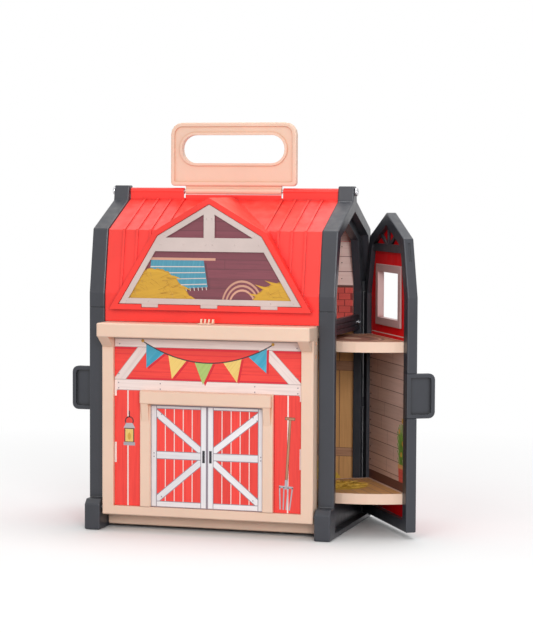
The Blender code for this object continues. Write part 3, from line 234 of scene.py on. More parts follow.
def make_moulded_group():
    group, tree, given, result = new_group('ShaderNodeTree', "moulded skin", [
        ("Color", COLOR, (0.8, 0.1, 0.1, 1)), ("Rubbed", COLOR, (1, 1, 1, 1)),
        ("Edge Wear", FLOAT, 0.3), ("Edge Radius", FLOAT, 0.0006),
        ("Mottle", FLOAT, 0.08), ("Texture Scale", FLOAT, 1500.0),
        ("Texture Depth", FLOAT, 0.12), ("Dust", FLOAT, 0.12),
        ("Roughness", FLOAT, 0.4), ("Crevice", FLOAT, 0.75),
        ("Crevice Reach", FLOAT, 0.004), ("Crevice Shade", FLOAT, 1.0)], SKIN)
    place = tree.place()
    # edges are lightened towards the second colour: partly rubbing, partly a painted highlight
    soft = tree.add('ShaderNodeBevel', {"Radius": given["Edge Radius"]}, samples=6).outputs[0]
    flat = tree.add('ShaderNodeNewGeometry').outputs["Normal"]
    dot = tree.add('ShaderNodeVectorMath', {0: soft, 1: flat}, operation='DOT_PRODUCT')
    edge = tree.ramp(dot.outputs["Value"], 0.995, 0.80)
    broken = tree.ramp(tree.noise(place, 260.0), 0.35, 0.75)
    wear_and_highlight = tree.times(tree.times(edge, given["Edge Wear"]), broken)

    coarse = tree.ramp(tree.noise(place, 22.0, 4.0), 0.3, 0.7, -1.0, 1.0)
    shade = tree.math('ADD', 1.0, tree.times(coarse, given["Mottle"]))
    toned = tree.scale(given["Color"], shade)
    # painted shade: corners and creases near other faces of the same piece darken towards the
    # squared colour
    open_share = tree.add('ShaderNodeAmbientOcclusion', {"Distance": given["Crevice Reach"]},
                          samples=8, only_local=True).outputs["AO"]
    painted_shade_mask = tree.times(tree.ramp(open_share, 0.95, 0.5), given["Crevice"])
    squared = tree.add('ShaderNodeVectorMath', {0: toned, 1: toned},
                       operation='MULTIPLY').outputs[0]
    with_painted_shade = tree.mix(painted_shade_mask, toned, tree.scale(squared, given["Crevice Shade"]))
    rubbed_and_highlit = tree.mix(wear_and_highlight, with_painted_shade, given["Rubbed"])

    upward = tree.add('ShaderNodeSeparateXYZ', {0: flat}).outputs["Z"]
    settled = tree.times(tree.ramp(upward, 0.6, 1.0),
                         tree.ramp(tree.noise(place, 90.0, 5.0), 0.4, 0.75))
    spread = tree.ramp(tree.noise(place, 140.0), 0.2, 0.8, -0.07, 0.07)
    rough = tree.math('ADD', given["Roughness"], spread)
    texture = tree.noise(place, given["Texture Scale"], 2.0)
    tree.fill(result, {
        "Color": tree.mix(tree.times(settled, given["Dust"]), rubbed_and_highlit, DUST_COLOR),
        "Roughness": tree.math('ADD', rough, tree.times(wear_and_highlight, 0.2), clamp=True),
        "Normal": tree.bump(texture, given["Texture Depth"], 0.0002, Normal=soft)})
    return group


MOULDED = make_moulded_group()


def plastic(name, color, rubbed_and_highlit, roughness, in_group=None, on_shader=None):
    """A moulded material from the shared group."""
    # the second colour is the colour of the edges: rubbing plus a painted highlight
    return grouped_material(name + "_plastic", MOULDED, {
        "Color": rgb(*color), "Rubbed": rgb(*rubbed_and_highlit), "Roughness": roughness,
        **(in_group or {})}, {"Coat Roughness": 0.25, **(on_shader or {})})


# name: colour, colour of the edges (rubbing plus a painted highlight), roughness,
# values in the group, on the shader
PLASTIC_TABLE = {
    # the Crevice values set how strongly corners and creases are darkened as painted shade
    "red": ((250, 56, 46), (255, 134, 120), 0.36,
            {"Crevice": 1.0, "Crevice Reach": 0.006, "Crevice Shade": 0.82, "Edge Wear": 0.5},
            {"Coat Weight": 0.12}),
    "charcoal": ((52, 54, 61), (134, 137, 148), 0.36,
                 {"Edge Wear": 0.5, "Mottle": 0.12}, {"Coat Weight": 0.08}),
    "peach": ((240, 206, 183), (255, 232, 212), 0.44,
              {"Edge Wear": 0.25, "Mottle": 0.03, "Dust": 0.04, "Crevice": 1.0},
              {"Subsurface Weight": 0.1, "Subsurface Radius": (0.6, 0.3, 0.2),
               "Subsurface Scale": 0.002}),
    "pale": ((211, 193, 187), (250, 240, 236), 0.46),
    "dark_red": ((246, 4, 20), (232, 60, 60), 0.46, None, {"Specular IOR Level": 0.2}),
    # a darker, pinker copy of the pale plastic for the side walls' window frames: painted shade
    "pale_in_painted_shade": ((206, 168, 165), (236, 212, 208), 0.46),
}
PLASTICS = {name: plastic(name, *row) for name, row in PLASTIC_TABLE.items()}
print("plastics:", sorted(PLASTICS))

# %% [markdown]
# ## Plated steel
#
# The rod, pins and screws are turned steel.  A noise stretched round the axis
# gives the fine rings of the lathe, and a few dark specks dull the plating.

# %%
def steel(name):
    material, tree, shader = new_material(name)
    place = tree.place()
    turned = tree.add('ShaderNodeMapping', {"Vector": place, "Scale": (3.0, 0.4, 0.4)})
    rings = tree.noise(turned.outputs[0], 900.0)
    specks = tree.ramp(tree.noise(place, 420.0), 0.62, 0.8)
    tree.fill(shader.inputs, {
        "Base Color": tree.mix(specks, rgb(205, 205, 208), rgb(120, 116, 112)),
        "Roughness": tree.ramp(rings, 0.2, 0.8, 0.2, 0.42),
        "Normal": tree.bump(rings, 0.1, 0.0001), "Metallic": 1.0})
    return material


STEEL = steel("plated_steel")

# %% [markdown]
# ## Printed ink
#
# The cards are printed with boards, doors, rugs and hay.  Every printed shape has
# a UV map in metres with U along the grain of the wood it shows, and a `tone`
# attribute that makes each board a little lighter or darker.  The ink group turns
# these into grain lines, knots of darker fibre and a faint paper texture.

# %%
def make_ink_group():
    group, tree, given, result = new_group('ShaderNodeTree', "printed ink", [
        ("Color", COLOR, (0.8, 0.8, 0.8, 1)), ("Grain Color", COLOR, (0.4, 0.3, 0.2, 1)),
        ("Grain", FLOAT, 0.3), ("Fineness", FLOAT, 1.0), ("Tone Range", FLOAT, 0.16)], SKIN)
    uv = tree.add('ShaderNodeUVMap', uv_map="grain").outputs[0]
    tone = tree.add('ShaderNodeAttribute', attribute_name="tone").outputs["Fac"]
    shift = tree.add('ShaderNodeCombineXYZ', {0: 0.0, 1: tone, 2: tone}).outputs[0]
    place = tree.add('ShaderNodeVectorMath', {0: uv, 1: shift}, operation='ADD').outputs[0]
    along = tree.add('ShaderNodeMapping', {"Vector": place, "Scale": (28.0, 620.0, 60.0)})
    fine = tree.scale(along.outputs[0], given["Fineness"])
    lines = tree.ramp(tree.noise(fine, 1.0, 5.0), 0.42, 0.68)
    broad = tree.ramp(tree.noise(place, 55.0), 0.35, 0.7)
    mask = tree.times(tree.times(lines, given["Grain"]),
                      tree.ramp(broad, 0.0, 1.0, 0.45, 1.0))
    wood = tree.mix(mask, given["Color"], given["Grain Color"])
    centred = tree.math('SUBTRACT', tone, 0.5)
    shade = tree.math('ADD', 1.0, tree.times(centred, given["Tone Range"]))
    fibre = tree.noise(tree.place(), 1300.0)
    tree.fill(result, {"Color": tree.scale(wood, shade),
                       "Roughness": tree.ramp(fibre, 0.2, 0.8, 0.46, 0.62),
                       "Normal": tree.bump(fibre, 0.08, 0.0002)})
    return group


INK_GROUP = make_ink_group()
FILM_GLOSS = 0.35       # clear coat on the inks of the film


def ink(name, color, grain_color, grain, fineness=1.0):
    """A printed material from the shared group."""
    dark = rgb(*grain_color) if grain_color else (*(c * 0.45 for c in rgb(*color)[:3]), 1.0)
    return grouped_material("ink_" + name, INK_GROUP, {
        "Color": rgb(*color), "Grain Color": dark, "Grain": grain, "Fineness": fineness},
        {"Coat Weight": FILM_GLOSS if name.startswith("film") else 0.0,
         "Coat Roughness": 0.12})


# name: colour, colour of the grain, strength of the grain, fineness of the grain
INK_TABLE = {
    "red_board": ((246, 70, 61), (214, 42, 42), 0.5),
    "red_shade": ((222, 36, 52), (206, 30, 44), 0.3),
    "red_gap": ((176, 30, 34), None, 0.2),
    "pale_board": ((244, 226, 220), (216, 194, 188), 0.55),
    "pale_edge_and_shade": ((176, 156, 152), None, 0.2),
    "door_frame": ((241, 238, 240), (214, 208, 212), 0.5),
    "door_edge_and_shade": ((150, 140, 150), None, 0.1),
    "white_line": ((248, 226, 220), None, 0.1),
    "black": ((36, 33, 42), None, 0.1),
    "blue": ((58, 160, 190), (112, 196, 214), 0.6, 0.6),
    "yellow": ((238, 206, 118), (220, 170, 84), 0.5),
    "green": ((182, 206, 118), (138, 178, 76), 0.5),
    "string": ((46, 44, 48), None, 0.1),
    "gold": ((222, 172, 74), None, 0.2),
    "wood": ((188, 140, 108), (140, 92, 66), 0.6),
    "wood_dark": ((128, 88, 68), (88, 56, 46), 0.5),
    "iron": ((186, 180, 186), (132, 126, 136), 0.4),
    "plank": ((253, 222, 212), (232, 190, 178), 0.5),
    "plank_gap": ((168, 122, 112), None, 0.2),
    "brick": ((224, 90, 80), (172, 62, 56), 0.5),
    "brick_gap": ((146, 50, 46), None, 0.2),
    "beam": ((110, 66, 58), (76, 44, 40), 0.6),
    "tan": ((222, 166, 106), (186, 126, 70), 0.5),
    "stone": ((228, 190, 176), (198, 154, 142), 0.5, 0.6),
    "stone_gap": ((148, 104, 94), None, 0.2),
    "rug": ((150, 96, 78), (112, 66, 54), 0.6, 0.8),
    "rug_pale": ((206, 164, 138), (170, 120, 96), 0.5),
    "straw": ((226, 184, 74), (190, 140, 40), 0.6),
    "grass": ((122, 164, 66), (86, 130, 46), 0.6, 0.5),
    "path": ((214, 184, 146), (180, 144, 104), 0.5),
    "water": ((120, 186, 210), (176, 220, 232), 0.5),
    "film": ((128, 62, 74), (98, 46, 58), 0.5),
    "film_gap": ((104, 50, 60), None, 0.2),
    "film_hay": ((222, 170, 44), (196, 142, 34), 0.5),
    "film_hay_dark": ((196, 144, 34), None, 0.3),
    "film_blue": ((70, 146, 170), (104, 178, 196), 0.5),
    "film_cord": ((222, 206, 198), None, 0.2),
    "film_peach": ((214, 158, 134), None, 0.3),
}
INKS = {name: ink(name, *row) for name, row in INK_TABLE.items()}
print("inks:", len(INKS))

# %% [markdown]
# ## Printing on a card
#
# A `Print` is drawn flat, in millimetres, on its own small drawing board: `u` to
# the right and `v` up.  Each shape is a thin closed prism on a layer, so that a
# later shape covers an earlier one.  `place` then lays the finished print where
# the card is, with its normal towards the viewer.

# %%
LAYER = 0.02 * MM
UPRIGHT = math.pi / 2       # grain of a board that stands
# the ink round a board, and how wide it shows in millimetres
EDGES = {"door_frame": ("door_edge_and_shade", 0.7), "pale_board": ("pale_edge_and_shade", 0.5),
         "wood": ("wood_dark", 0.5)}


def rect(u0, v0, u1, v1):
    return [(u0, v0), (u1, v0), (u1, v1), (u0, v1)]


def left_of(way):
    """A vector turned by a quarter to the left."""
    return Vector((-way.y, way.x))


def strip(a, b, width):
    """A straight bar from a to b."""
    a, b = Vector(a), Vector(b)
    across = left_of((b - a).normalized()) * (width / 2)
    return [a - across, b - across, b + across, a + across]


def ellipse(u, v, ru, rv, count, end=2 * math.pi):
    """An ellipse, or its part from the right-hand end up to the angle `end`."""
    steps = count if end == 2 * math.pi else count + 1
    return [(u + ru * math.cos(end * i / count), v + rv * math.sin(end * i / count))
            for i in range(steps)]


def clipped(points, region):
    """The part of a convex or simple shape inside a convex region (both CCW)."""
    def side(p, a, b):
        return (b[0] - a[0]) * (p[1] - a[1]) - (b[1] - a[1]) * (p[0] - a[0])
    result = list(points)
    for i, a in enumerate(region):
        b = region[(i + 1) % len(region)]
        source, result = result, []
        for j, p in enumerate(source):
            q = source[(j + 1) % len(source)]
            sp, sq = side(p, a, b), side(q, a, b)
            if sp >= 0:
                result.append(p)
            if sp * sq < 0:
                t = sp / (sp - sq)
                result.append((p[0] + (q[0] - p[0]) * t, p[1] + (q[1] - p[1]) * t))
        if len(result) < 3:
            return []
    return result


def counter_clockwise(points):
    """The same outline, with its corners in counter-clockwise order."""
    area = sum(p[0] * q[1] - q[0] * p[1] for p, q in zip(points, points[1:] + points[:1]))
    return points[::-1] if area < 0 else points


def shrink(points, amount):
    """Move every side of a convex outline inwards."""
    points = [Vector(p) for p in counter_clockwise(points)]
    moved = []
    for a, b, c in zip(points[-1:] + points[:-1], points, points[1:] + points[:1]):
        n1, n2 = (left_of(side).normalized() for side in (b - a, c - b))
        middle = (n1 + n2).normalized()
        moved.append(b + middle * (amount / max(middle.dot(n1), 0.35)))
    return moved


class Print:
    """A card with inked shapes on it, cut off at the edge of its region."""

    def __init__(self, name, outline, thickness, seed):
        self.name, self.thickness = name, thickness
        self.outline = self.region = outline
        self.bm = bmesh.new()
        self.uv = self.bm.loops.layers.uv.new("grain")
        self.tone = self.bm.faces.layers.float.new("tone")
        self.inks = []
        self.random = random.Random(seed)

    def base(self, name, grain=0.0):
        """The card itself, from its back face to its front face."""
        self._prism(self.outline, -self.thickness * MM, 0.0, name, grain, 0.5)

    def shape(self, points, name, layer=1, grain=0.0, tone=None):
        """An inked shape; grain is the direction of the wood in radians."""
        points = clipped(points, self.region)
        if len(points) < 3:
            return
        tone = self.random.random() if tone is None else tone
        self._prism(points, 0.0, layer * LAYER, name, grain, tone)

    def shapes(self, *rows):
        """Shapes one after another, each row holding what `shape` takes."""
        for row in rows:
            self.shape(*row)

    def board(self, points, name, layer, grain=0.0):
        """A board: a darker edge with the board's face inside it."""
        edge, rim = EDGES[name]
        self.shape(points, edge, layer, grain, 0.5)
        self.shape(shrink(points, rim), name, layer + 1, grain)

    def _prism(self, points, low, high, name, grain, tone):
        if name not in self.inks:
            self.inks.append(name)
        points = counter_clockwise(points)
        back, front = ([self.bm.verts.new((u * MM, v * MM, z)) for u, v in points]
                       for z in (low, high))
        faces = [self.bm.faces.new(front), self.bm.faces.new(back[::-1])]
        for i in range(len(points)):
            faces.append(self.bm.faces.new((back[i - 1], back[i], front[i], front[i - 1])))
        c, s = math.cos(grain), math.sin(grain)
        for face in faces:
            face.material_index = self.inks.index(name)
            face[self.tone] = tone
            for loop in face.loops:
                x, y = loop.vert.co.x, loop.vert.co.y
                loop[self.uv].uv = (x * c + y * s, y * c - x * s)

    def place(self, matrix, body, *nodes):
        """Turn the drawing into an object on its body, in place of CAD nodes."""
        mesh = bpy.data.meshes.new(self.name)
        self.bm.to_mesh(mesh)
        self.bm.free()
        mesh.transform(matrix)
        for name in self.inks:
            mesh.materials.append(INKS[name])
        obj = add_object(self.name, mesh)
        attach(obj, body)
        if nodes:
            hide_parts(*nodes)
        print("print %s: %d faces, %d inks" % (self.name, len(mesh.polygons), len(self.inks)))


def board_frame(origin, u_axis, v_axis):
    """Matrix from a drawing board to the row frame."""
    u, v = Vector(u_axis).normalized(), Vector(v_axis).normalized()
    n = u.cross(v)
    turn = Matrix((u, v, n)).transposed().to_4x4()
    return Matrix.Translation(Vector(origin)) @ turn


FRONT = ((1, 0, 0), (0, 0, 1))       # seen from -Y
BACK = ((-1, 0, 0), (0, 0, 1))       # seen from +Y
TOP = ((1, 0, 0), (0, 1, 0))         # seen from above


def card_print(name, node, seed, view=FRONT):
    """A print the size of a CAD card, its matrix, and its left, right, foot and top."""
    low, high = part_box(node)
    left, right, foot, top = low.x / MM, high.x / MM, low.z / MM, high.z / MM
    card = Print(name, rect(left, foot, right, top), (high.y - low.y) / MM, seed)
    face = low.y if view is FRONT else high.y
    return card, board_frame((0, face, 0), *view), left, right, foot, top

# %% [markdown]
# ## Copies with Geometry Nodes
#
# Nails, straws and blades of grass are many copies of one small shape.  Two node
# groups make them.  The first puts a short peg on every point it is given.  The
# second scatters thin blades over faces, each turned and leaning by chance, with a
# fixed seed.  Both realize their copies and set a material, and the result is kept
# as a plain mesh.

# %%
INTEGER, MATERIAL, GEOMETRY = (
    'NodeSocketInt', 'NodeSocketMaterial', 'NodeSocketGeometry')


def copies_group(name, inputs, build):
    """A group that turns the instance inputs which build makes into solid copies."""
    group, tree, given, result = new_group(
        'GeometryNodeTree', name,
        [("Geometry", GEOMETRY), *inputs, ("Material", MATERIAL)], [("Geometry", GEOMETRY)])
    group.is_modifier = True
    copies = tree.add('GeometryNodeInstanceOnPoints', build(tree, given))
    solid = tree.add('GeometryNodeRealizeInstances', {"Geometry": copies.outputs[0]})
    done = tree.add('GeometryNodeSetMaterial', {"Geometry": solid.outputs[0],
                                                "Material": given["Material"]})
    tree.fill(result, {"Geometry": done.outputs[0]})
    return group


def cone(tree, sides, radius, taper, depth):
    return tree.add('GeometryNodeMeshCone', {
        "Vertices": sides, "Radius Bottom": radius,
        "Radius Top": tree.times(radius, taper), "Depth": depth}).outputs["Mesh"]


def pegs(tree, given):
    return {"Points": given["Geometry"],
            "Instance": cone(tree, given["Sides"], given["Radius"], 0.6, given["Height"])}


def scattered_blades(tree, given):
    points = tree.add('GeometryNodeDistributePointsOnFaces', {
        "Mesh": given["Geometry"], "Density": given["Per Square Metre"],
        "Seed": given["Seed"]})

    def chance(low, high):
        return tree.add('FunctionNodeRandomValue', {2: low, 3: high, 8: given["Seed"]},
                        data_type='FLOAT').outputs[1]
    heading = chance(tree.math('SUBTRACT', given["Heading"], given["Spread"]),
                     tree.math('ADD', given["Heading"], given["Spread"]))
    turn = tree.add('ShaderNodeCombineXYZ', {0: given["Lean"], 1: 0.0, 2: heading})
    return {"Points": points.outputs["Points"],
            "Instance": cone(tree, 3, given["Width"], 0.25, given["Length"]),
            "Rotation": turn.outputs[0], "Scale": chance(0.6, 1.15)}


PEGS = copies_group("pegs on points", [
    ("Radius", FLOAT, 0.0008), ("Height", FLOAT, 0.0002), ("Sides", INTEGER, 10)], pegs)
BLADES = copies_group("blades on faces", [
    ("Per Square Metre", FLOAT, 40000.0), ("Length", FLOAT, 0.006), ("Width", FLOAT, 0.0004),
    ("Lean", FLOAT, 1.4), ("Spread", FLOAT, 3.14), ("Heading", FLOAT, 0.0),
    ("Seed", INTEGER, 1)], scattered_blades)


def grow(name, mesh, group, values, matrix, body):
    """Run a Geometry Nodes group on a mesh and keep the result as a plain piece."""
    source = add_object(name + "_source", mesh)
    modifier = source.modifiers.new("copies", 'NODES')
    modifier.node_group = group
    ids = {item.name: item.identifier for item in group.interface.items_tree
           if item.item_type == 'SOCKET' and item.in_out == 'INPUT'}
    for key, value in values.items():
        modifier[ids[key]] = value
    bpy.context.view_layer.update()
    graph = bpy.context.evaluated_depsgraph_get()
    grown = bpy.data.meshes.new_from_object(source.evaluated_get(graph))
    bpy.data.objects.remove(source, do_unlink=True)
    grown.transform(matrix)
    obj = add_object(name, grown)
    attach(obj, body)
    print("%s: %d faces" % (name, len(grown.polygons)))


def nails(name, spots, radius, height, material, matrix, body):
    """Nail heads at spots given in millimetres on a drawing board."""
    mesh = bpy.data.meshes.new(name)
    mesh.from_pydata([(u * MM, v * MM, 0.0) for u, v in spots], [], [])
    grow(name, mesh, PEGS, {"Radius": radius * MM, "Height": height * MM,
                            "Material": material}, matrix, body)


def blades(name, outlines, ink_name, matrix, body, rise, slot="print", **values):
    """Blades scattered over outlines given in millimetres on a drawing board."""
    bm = bmesh.new()
    for outline in outlines:
        bm.faces.new([bm.verts.new((u * MM, v * MM, rise * MM)) for u, v in outline])
    bmesh.ops.recalc_face_normals(bm, faces=bm.faces)
    mesh = bpy.data.meshes.new(name)
    bm.to_mesh(mesh)
    bm.free()
    settings = {key.replace("_", " ").title(): value for key, value in values.items()}
    grow(name, mesh, BLADES, {"Material": INKS[ink_name], **settings}, matrix, body)


# %% [markdown]
# ## The front of the barn
#
# The card behind the posts shows red boards, a pale board under the beam, corner
# braces, a board over the lintel, double doors with braces, and a string of
# pennants between two gold nails.  Its size is read from the CAD node.

# %%
def vertical_boards(card, u0, v0, u1, v1, pitch, name, gap, layer, line):
    """Upright boards side by side with a line between neighbours."""
    count = max(1, round((u1 - u0) / pitch))
    step = (u1 - u0) / count
    for i in range(count):
        u = u0 + i * step
        card.shape(rect(u, v0, u0 + (i + 1) * step, v1), name, layer, UPRIGHT)
        if i:
            card.shape(rect(u - line / 2, v0, u + line / 2, v1), gap, layer + 1, UPRIGHT, 0.5)


def level_boards(card, u0, v0, u1, v1, pitch, name, gap, line, joints=True):
    """Level boards one above the other, with butt joints here and there."""
    count = max(1, round((v1 - v0) / pitch))
    step = (v1 - v0) / count
    for i in range(count):
        low, high = v0 + i * step, v0 + (i + 1) * step
        card.shape(rect(u0, low, u1, high), name)
        if joints:
            at = u0 + (u1 - u0) * (0.2 + 0.6 * card.random.random())
            card.shape(rect(at - line / 3, low, at + line / 3, high), gap, 2, 0, 0.5)
        if i:
            card.shape(rect(u0, low - line / 2, u1, low + line / 2), gap, 2, 0, 0.5)


SEAM = 140                  # upright boards below, level boards above
DOOR_EDGE, DOOR_TOP = 57.6, 126
STILE = 6.2


def door_leaf(card, side, foot):
    """One printed leaf of the double door with its K brace."""
    inner, far = 0.4, DOOR_EDGE - STILE
    low, high = sorted((side * (inner + STILE - 0.6), side * (far + 0.5)))
    vertical_boards(card, low, foot, high, DOOR_TOP, 9.1, "red_board", "white_line", 3, 0.9)
    for v0, v1 in ((78.7, DOOR_TOP - 8), (72.9, foot + 6)):
        a, b = (side * (inner + 3), v0), (side * (far + 2), v1)
        card.board(strip(a, b, 7.0), "door_frame", 5, math.atan2(b[1] - a[1], b[0] - a[0]))
    low, high = sorted((side * inner, side * DOOR_EDGE))
    for v0, v1 in ((71.9, 79.7), (DOOR_TOP - 4.9, DOOR_TOP), (foot, foot + 6)):
        card.board(rect(low, v0, high, v1), "door_frame", 7)
    for u in (inner, far):
        u0, u1 = sorted((side * u, side * (u + STILE)))
        card.board(rect(u0, foot, u1, DOOR_TOP), "door_frame", 9, UPRIGHT)
    grip = side * (inner + STILE / 2)
    # a dark strip along the top of the leaf is the painted shadow of the lintel; then the slot of
    # the grip
    card.shapes((rect(low, DOOR_TOP - 2.2, high, DOOR_TOP), "door_edge_and_shade", 11, 0, 0.4),
                (rect(grip - 1.3, 69.6, grip + 1.3, 81.6), "black", 12, 0, 0.5))


def hay_fork(card, u, v, tall, lean):
    """A hay fork that leans against the boards, tines down."""
    foot, head = Vector((u, v)), Vector((u + lean, v + tall))
    axis = (head - foot).normalized()
    across = -left_of(axis)
    neck = foot + axis * 22
    bars = [(neck, head, 2.6, "wood_dark", 3, UPRIGHT), (neck, head, 1.7, "wood", 4, UPRIGHT)]
    bars += [(middle - across * half, middle + across * half, width, name, layer, 0)
             for middle, half, width, name, layer in (
                 (head, 5, 3.0, "wood_dark", 5), (head, 4.4, 2.0, "wood", 6),
                 (neck, 7, 2.2, "iron", 5))]
    bars += [(neck + across * 6.4 * k, foot + across * 4.6 * k, 1.3, "iron", 5, UPRIGHT)
             for k in (-1, -0.33, 0.33, 1)]
    bars.append((neck - axis * 2, neck + axis * 7, 3.0, "iron", 7, UPRIGHT))
    for a, b, width, name, layer, grain in bars:
        card.shape(strip(a, b, width), name, layer, grain)


def lantern(card, u, v):
    """A hanging lantern on a hook."""
    card.shapes((strip((u, v + 27), (u, v + 34), 1.0), "black", 3),
                (ellipse(u, v + 24, 4.6, 4.6, 16), "black", 3),
                (ellipse(u, v + 24, 3.6, 3.6, 16), "red_board", 4, UPRIGHT, 0.4),
                ([(u - 6, v + 17), (u + 6, v + 17), (u + 3.4, v + 22), (u - 3.4, v + 22)],
                 "iron", 5),
                (rect(u - 5, v + 3, u + 5, v + 17), "black", 5),
                (rect(u - 4.1, v + 3.8, u + 4.1, v + 16.2), "yellow", 6, UPRIGHT),
                (ellipse(u, v + 9, 1.7, 3.6, 12), "gold", 7),
                (rect(u - 6, v, u + 6, v + 3.2), "iron", 6))


FLAG_SHARES = (0.098, 0.27, 0.473, 0.692, 0.884)     # middles of the pennants on the string
FLAG_HALF, FLAG_DROP = 0.071, 21.7      # half a pennant along the string, and its length
FLAG_SHADOW = Vector((2.2, -1.2))
STRING_STEPS = 26


def bunting(card, start, end, sag, colours):
    """A hanging string with pennants and their shadows."""
    start, end = Vector(start), Vector(end)

    def at(t):
        return Vector((start.x + (end.x - start.x) * t,
                       start.y + (end.y - start.y) * t - 4 * sag * t * (1 - t)))

    for t, colour in zip(FLAG_SHARES, colours):
        a, b = at(t - FLAG_HALF), at(t + FLAG_HALF)
        flag = [a, (a + b) / 2 - left_of(b - a).normalized() * FLAG_DROP, b]
        card.shapes(([corner + FLAG_SHADOW for corner in flag], "red_shade", 9, 0, 0.2),
                    (flag, colour, 10, 0.9))
    for i in range(STRING_STEPS):
        card.shape(strip(at(i / STRING_STEPS), at((i + 1.15) / STRING_STEPS), 1.0),
                   "string", 12 + i % 2, 0, 0.5)


def front_print():
    card, matrix, left, right, foot, top = card_print("front_print", "front_card", 5)
    card.base("red_board", UPRIGHT)
    vertical_boards(card, left, foot, right, SEAM, 13.6, "red_board", "red_gap", 1, 0.5)
    level_boards(card, left, SEAM, right, top, 16, "red_board", "red_shade", 0.35, False)
    for v0, v1 in ((178.6, 181), (148.6, 150.8)):
        card.shape(rect(left, v0, right, v1), "red_shade", 3, 0, 0.4)
    for side in (-1, 1):
        line, edge = side * 81.4, side * (right - 1)
        card.shape(rect(line - 0.7, foot, line + 0.7, SEAM), "white_line", 3, UPRIGHT)
        # tabs of the card at its edge
        for v0, v1 in ((67, 87), (132.5, 147.7)):
            card.shape(strip((edge, v0), (edge, v1), 2), "white_line", 8)
    for a, b, grain in (((-57.6, 190), (-97.1, SEAM), 0.9), ((49.5, 190), (97.0, SEAM), -0.81)):
        card.board(strip(a, b, 10.2), "pale_board", 4, grain)
    for side in (1, -1):
        door_leaf(card, side, foot)
    card.shape(rect(-0.6, foot, 0.6, DOOR_TOP), "door_edge_and_shade", 13, UPRIGHT, 0.2)
    for v0, v1 in ((138.2, 149.0), (180.6, top)):
        card.board(rect(left, v0, right, v1), "pale_board", 6)
    # a dark strip along the top of the card is the painted shadow of the beam
    card.shape(rect(left, top - 2.2, right, top), "pale_edge_and_shade", 8, 0, 0.4)
    hay_fork(card, 78.5, foot + 3, 88, 5.0)
    lantern(card, -80, 84)
    bunting(card, (-66, 186.6), (66, 186.2), 19.5,
            ("blue", "yellow", "green", "yellow", "blue"))
    card.place(matrix, "front", "front_card")
    spots = [(u, v) for v in (140.2, 145.6) for u in (left + 4, -48, 48, right - 4)]
    spots += [(side * u, v) for side in (-1, 1) for u, v in (
        (91, 154.2), (62, 183.5), (90, 183.5), (54.3, 74.2), (54.3, 77.6), (50.5, 112.6),
        (46.6, 115.6), (50.5, 37.6), (46.6, 35.0))]
    nails("front_nails", spots, 0.7, 0.8, INKS["door_edge_and_shade"], matrix, "front")
    nails("bunting_nails", [(-66, 187.0), (66, 186.6)], 1.7, 1.0, INKS["gold"], matrix, "front")


front_print()

# %% [markdown]
# ## The window film
#
# Behind the pale window frame is a dark tinted film.  It shows level boards, two
# heaps of hay with tufts that stick out of them, a folded striped blanket on a rail
# and a coil of rope.  A clear coat in the film inks gives it the shine of plastic
# sheet.

# %%
KNEE = (53.5, 292.0)        # where the sides of the window bend


def window_region(inward):
    """Outline of the film in millimetres, drawn from its CAD box."""
    low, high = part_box("window_film")
    foot, top, half = low.z / MM + inward, high.z / MM - inward * 1.2, high.x / MM - inward * 1.3
    knee, bend = KNEE[0] - inward, KNEE[1] - inward
    return [(-half, foot), (half, foot), (knee, bend), (0, top), (-knee, bend)]


def heap(u, v, wide, tall, count, seed, rough=1.2):
    """Outline of a heap of hay with a ragged top."""
    chance = random.Random(seed)
    top = []
    for i in range(count + 1):
        t = i / count
        ragged = (chance.random() - 0.3) * rough * (0 < i < count)
        top.append((u + wide * (0.5 - t), v + tall * math.sin(math.pi * t) ** 0.7 + ragged))
    return top


# root, angle and length of each tuft of hay
TUFTS = ((-64, 255.5, 0.05, 22), (-42, 250, 0.0, 13), (-32, 241, -0.15, 14),
         (-26, 232, -0.2, 15), (-22, 225, -0.1, 13), (78, 243, 0.1, 15),
         (70, 243, 3.0, 15), (60, 239, 3.0, 15), (53, 232, 3.1, 14), (49, 225.5, 3.2, 14))


def tuft(card, u, v, angle, length, layer):
    """One pointed tuft of hay that bends a little, with its root at u, v."""
    root, along = Vector((u, v)), Vector((math.cos(angle), math.sin(angle)))
    across = left_of(along)
    start, middle, tip = (root + along * length * t - across * length * 0.16 * t * t
                          for t in (0, 0.5, 1))
    card.shape([start - across * 1.6, middle - across * 1.2, tip, middle + across * 1.0,
                start + across * 1.6], "film_hay", layer, angle)


def blanket(card):
    """A striped blanket with a fringe, folded over a pole."""
    cloth = [(-60, 266), (-6, 266), (-2, 240), (-62, 236)]
    card.shapes(([(u + 2.5, v - 2.5) for u, v in cloth], "film_gap", 4, 0, 0.1),
                (cloth, "film_blue", 5, 1.4))
    for k in range(4):
        v = 243 + 5.6 * k
        card.shape(strip((-61.6 + 0.4 * k, v - 2.4 + 0.6 * k), (-3 - 0.8 * k, v), 0.9),
                   "film_cord", 6, 0)
    for k in range(15):
        u, v = -61 + 4.1 * k, 236.6 + 0.27 * k
        card.shape(strip((u, v), (u + 0.6, v - 3.2), 0.8), "film_cord", 6, 1.5)
    card.shape(strip((-68, 267), (6, 267), 2.4), "film_peach", 7, 0)


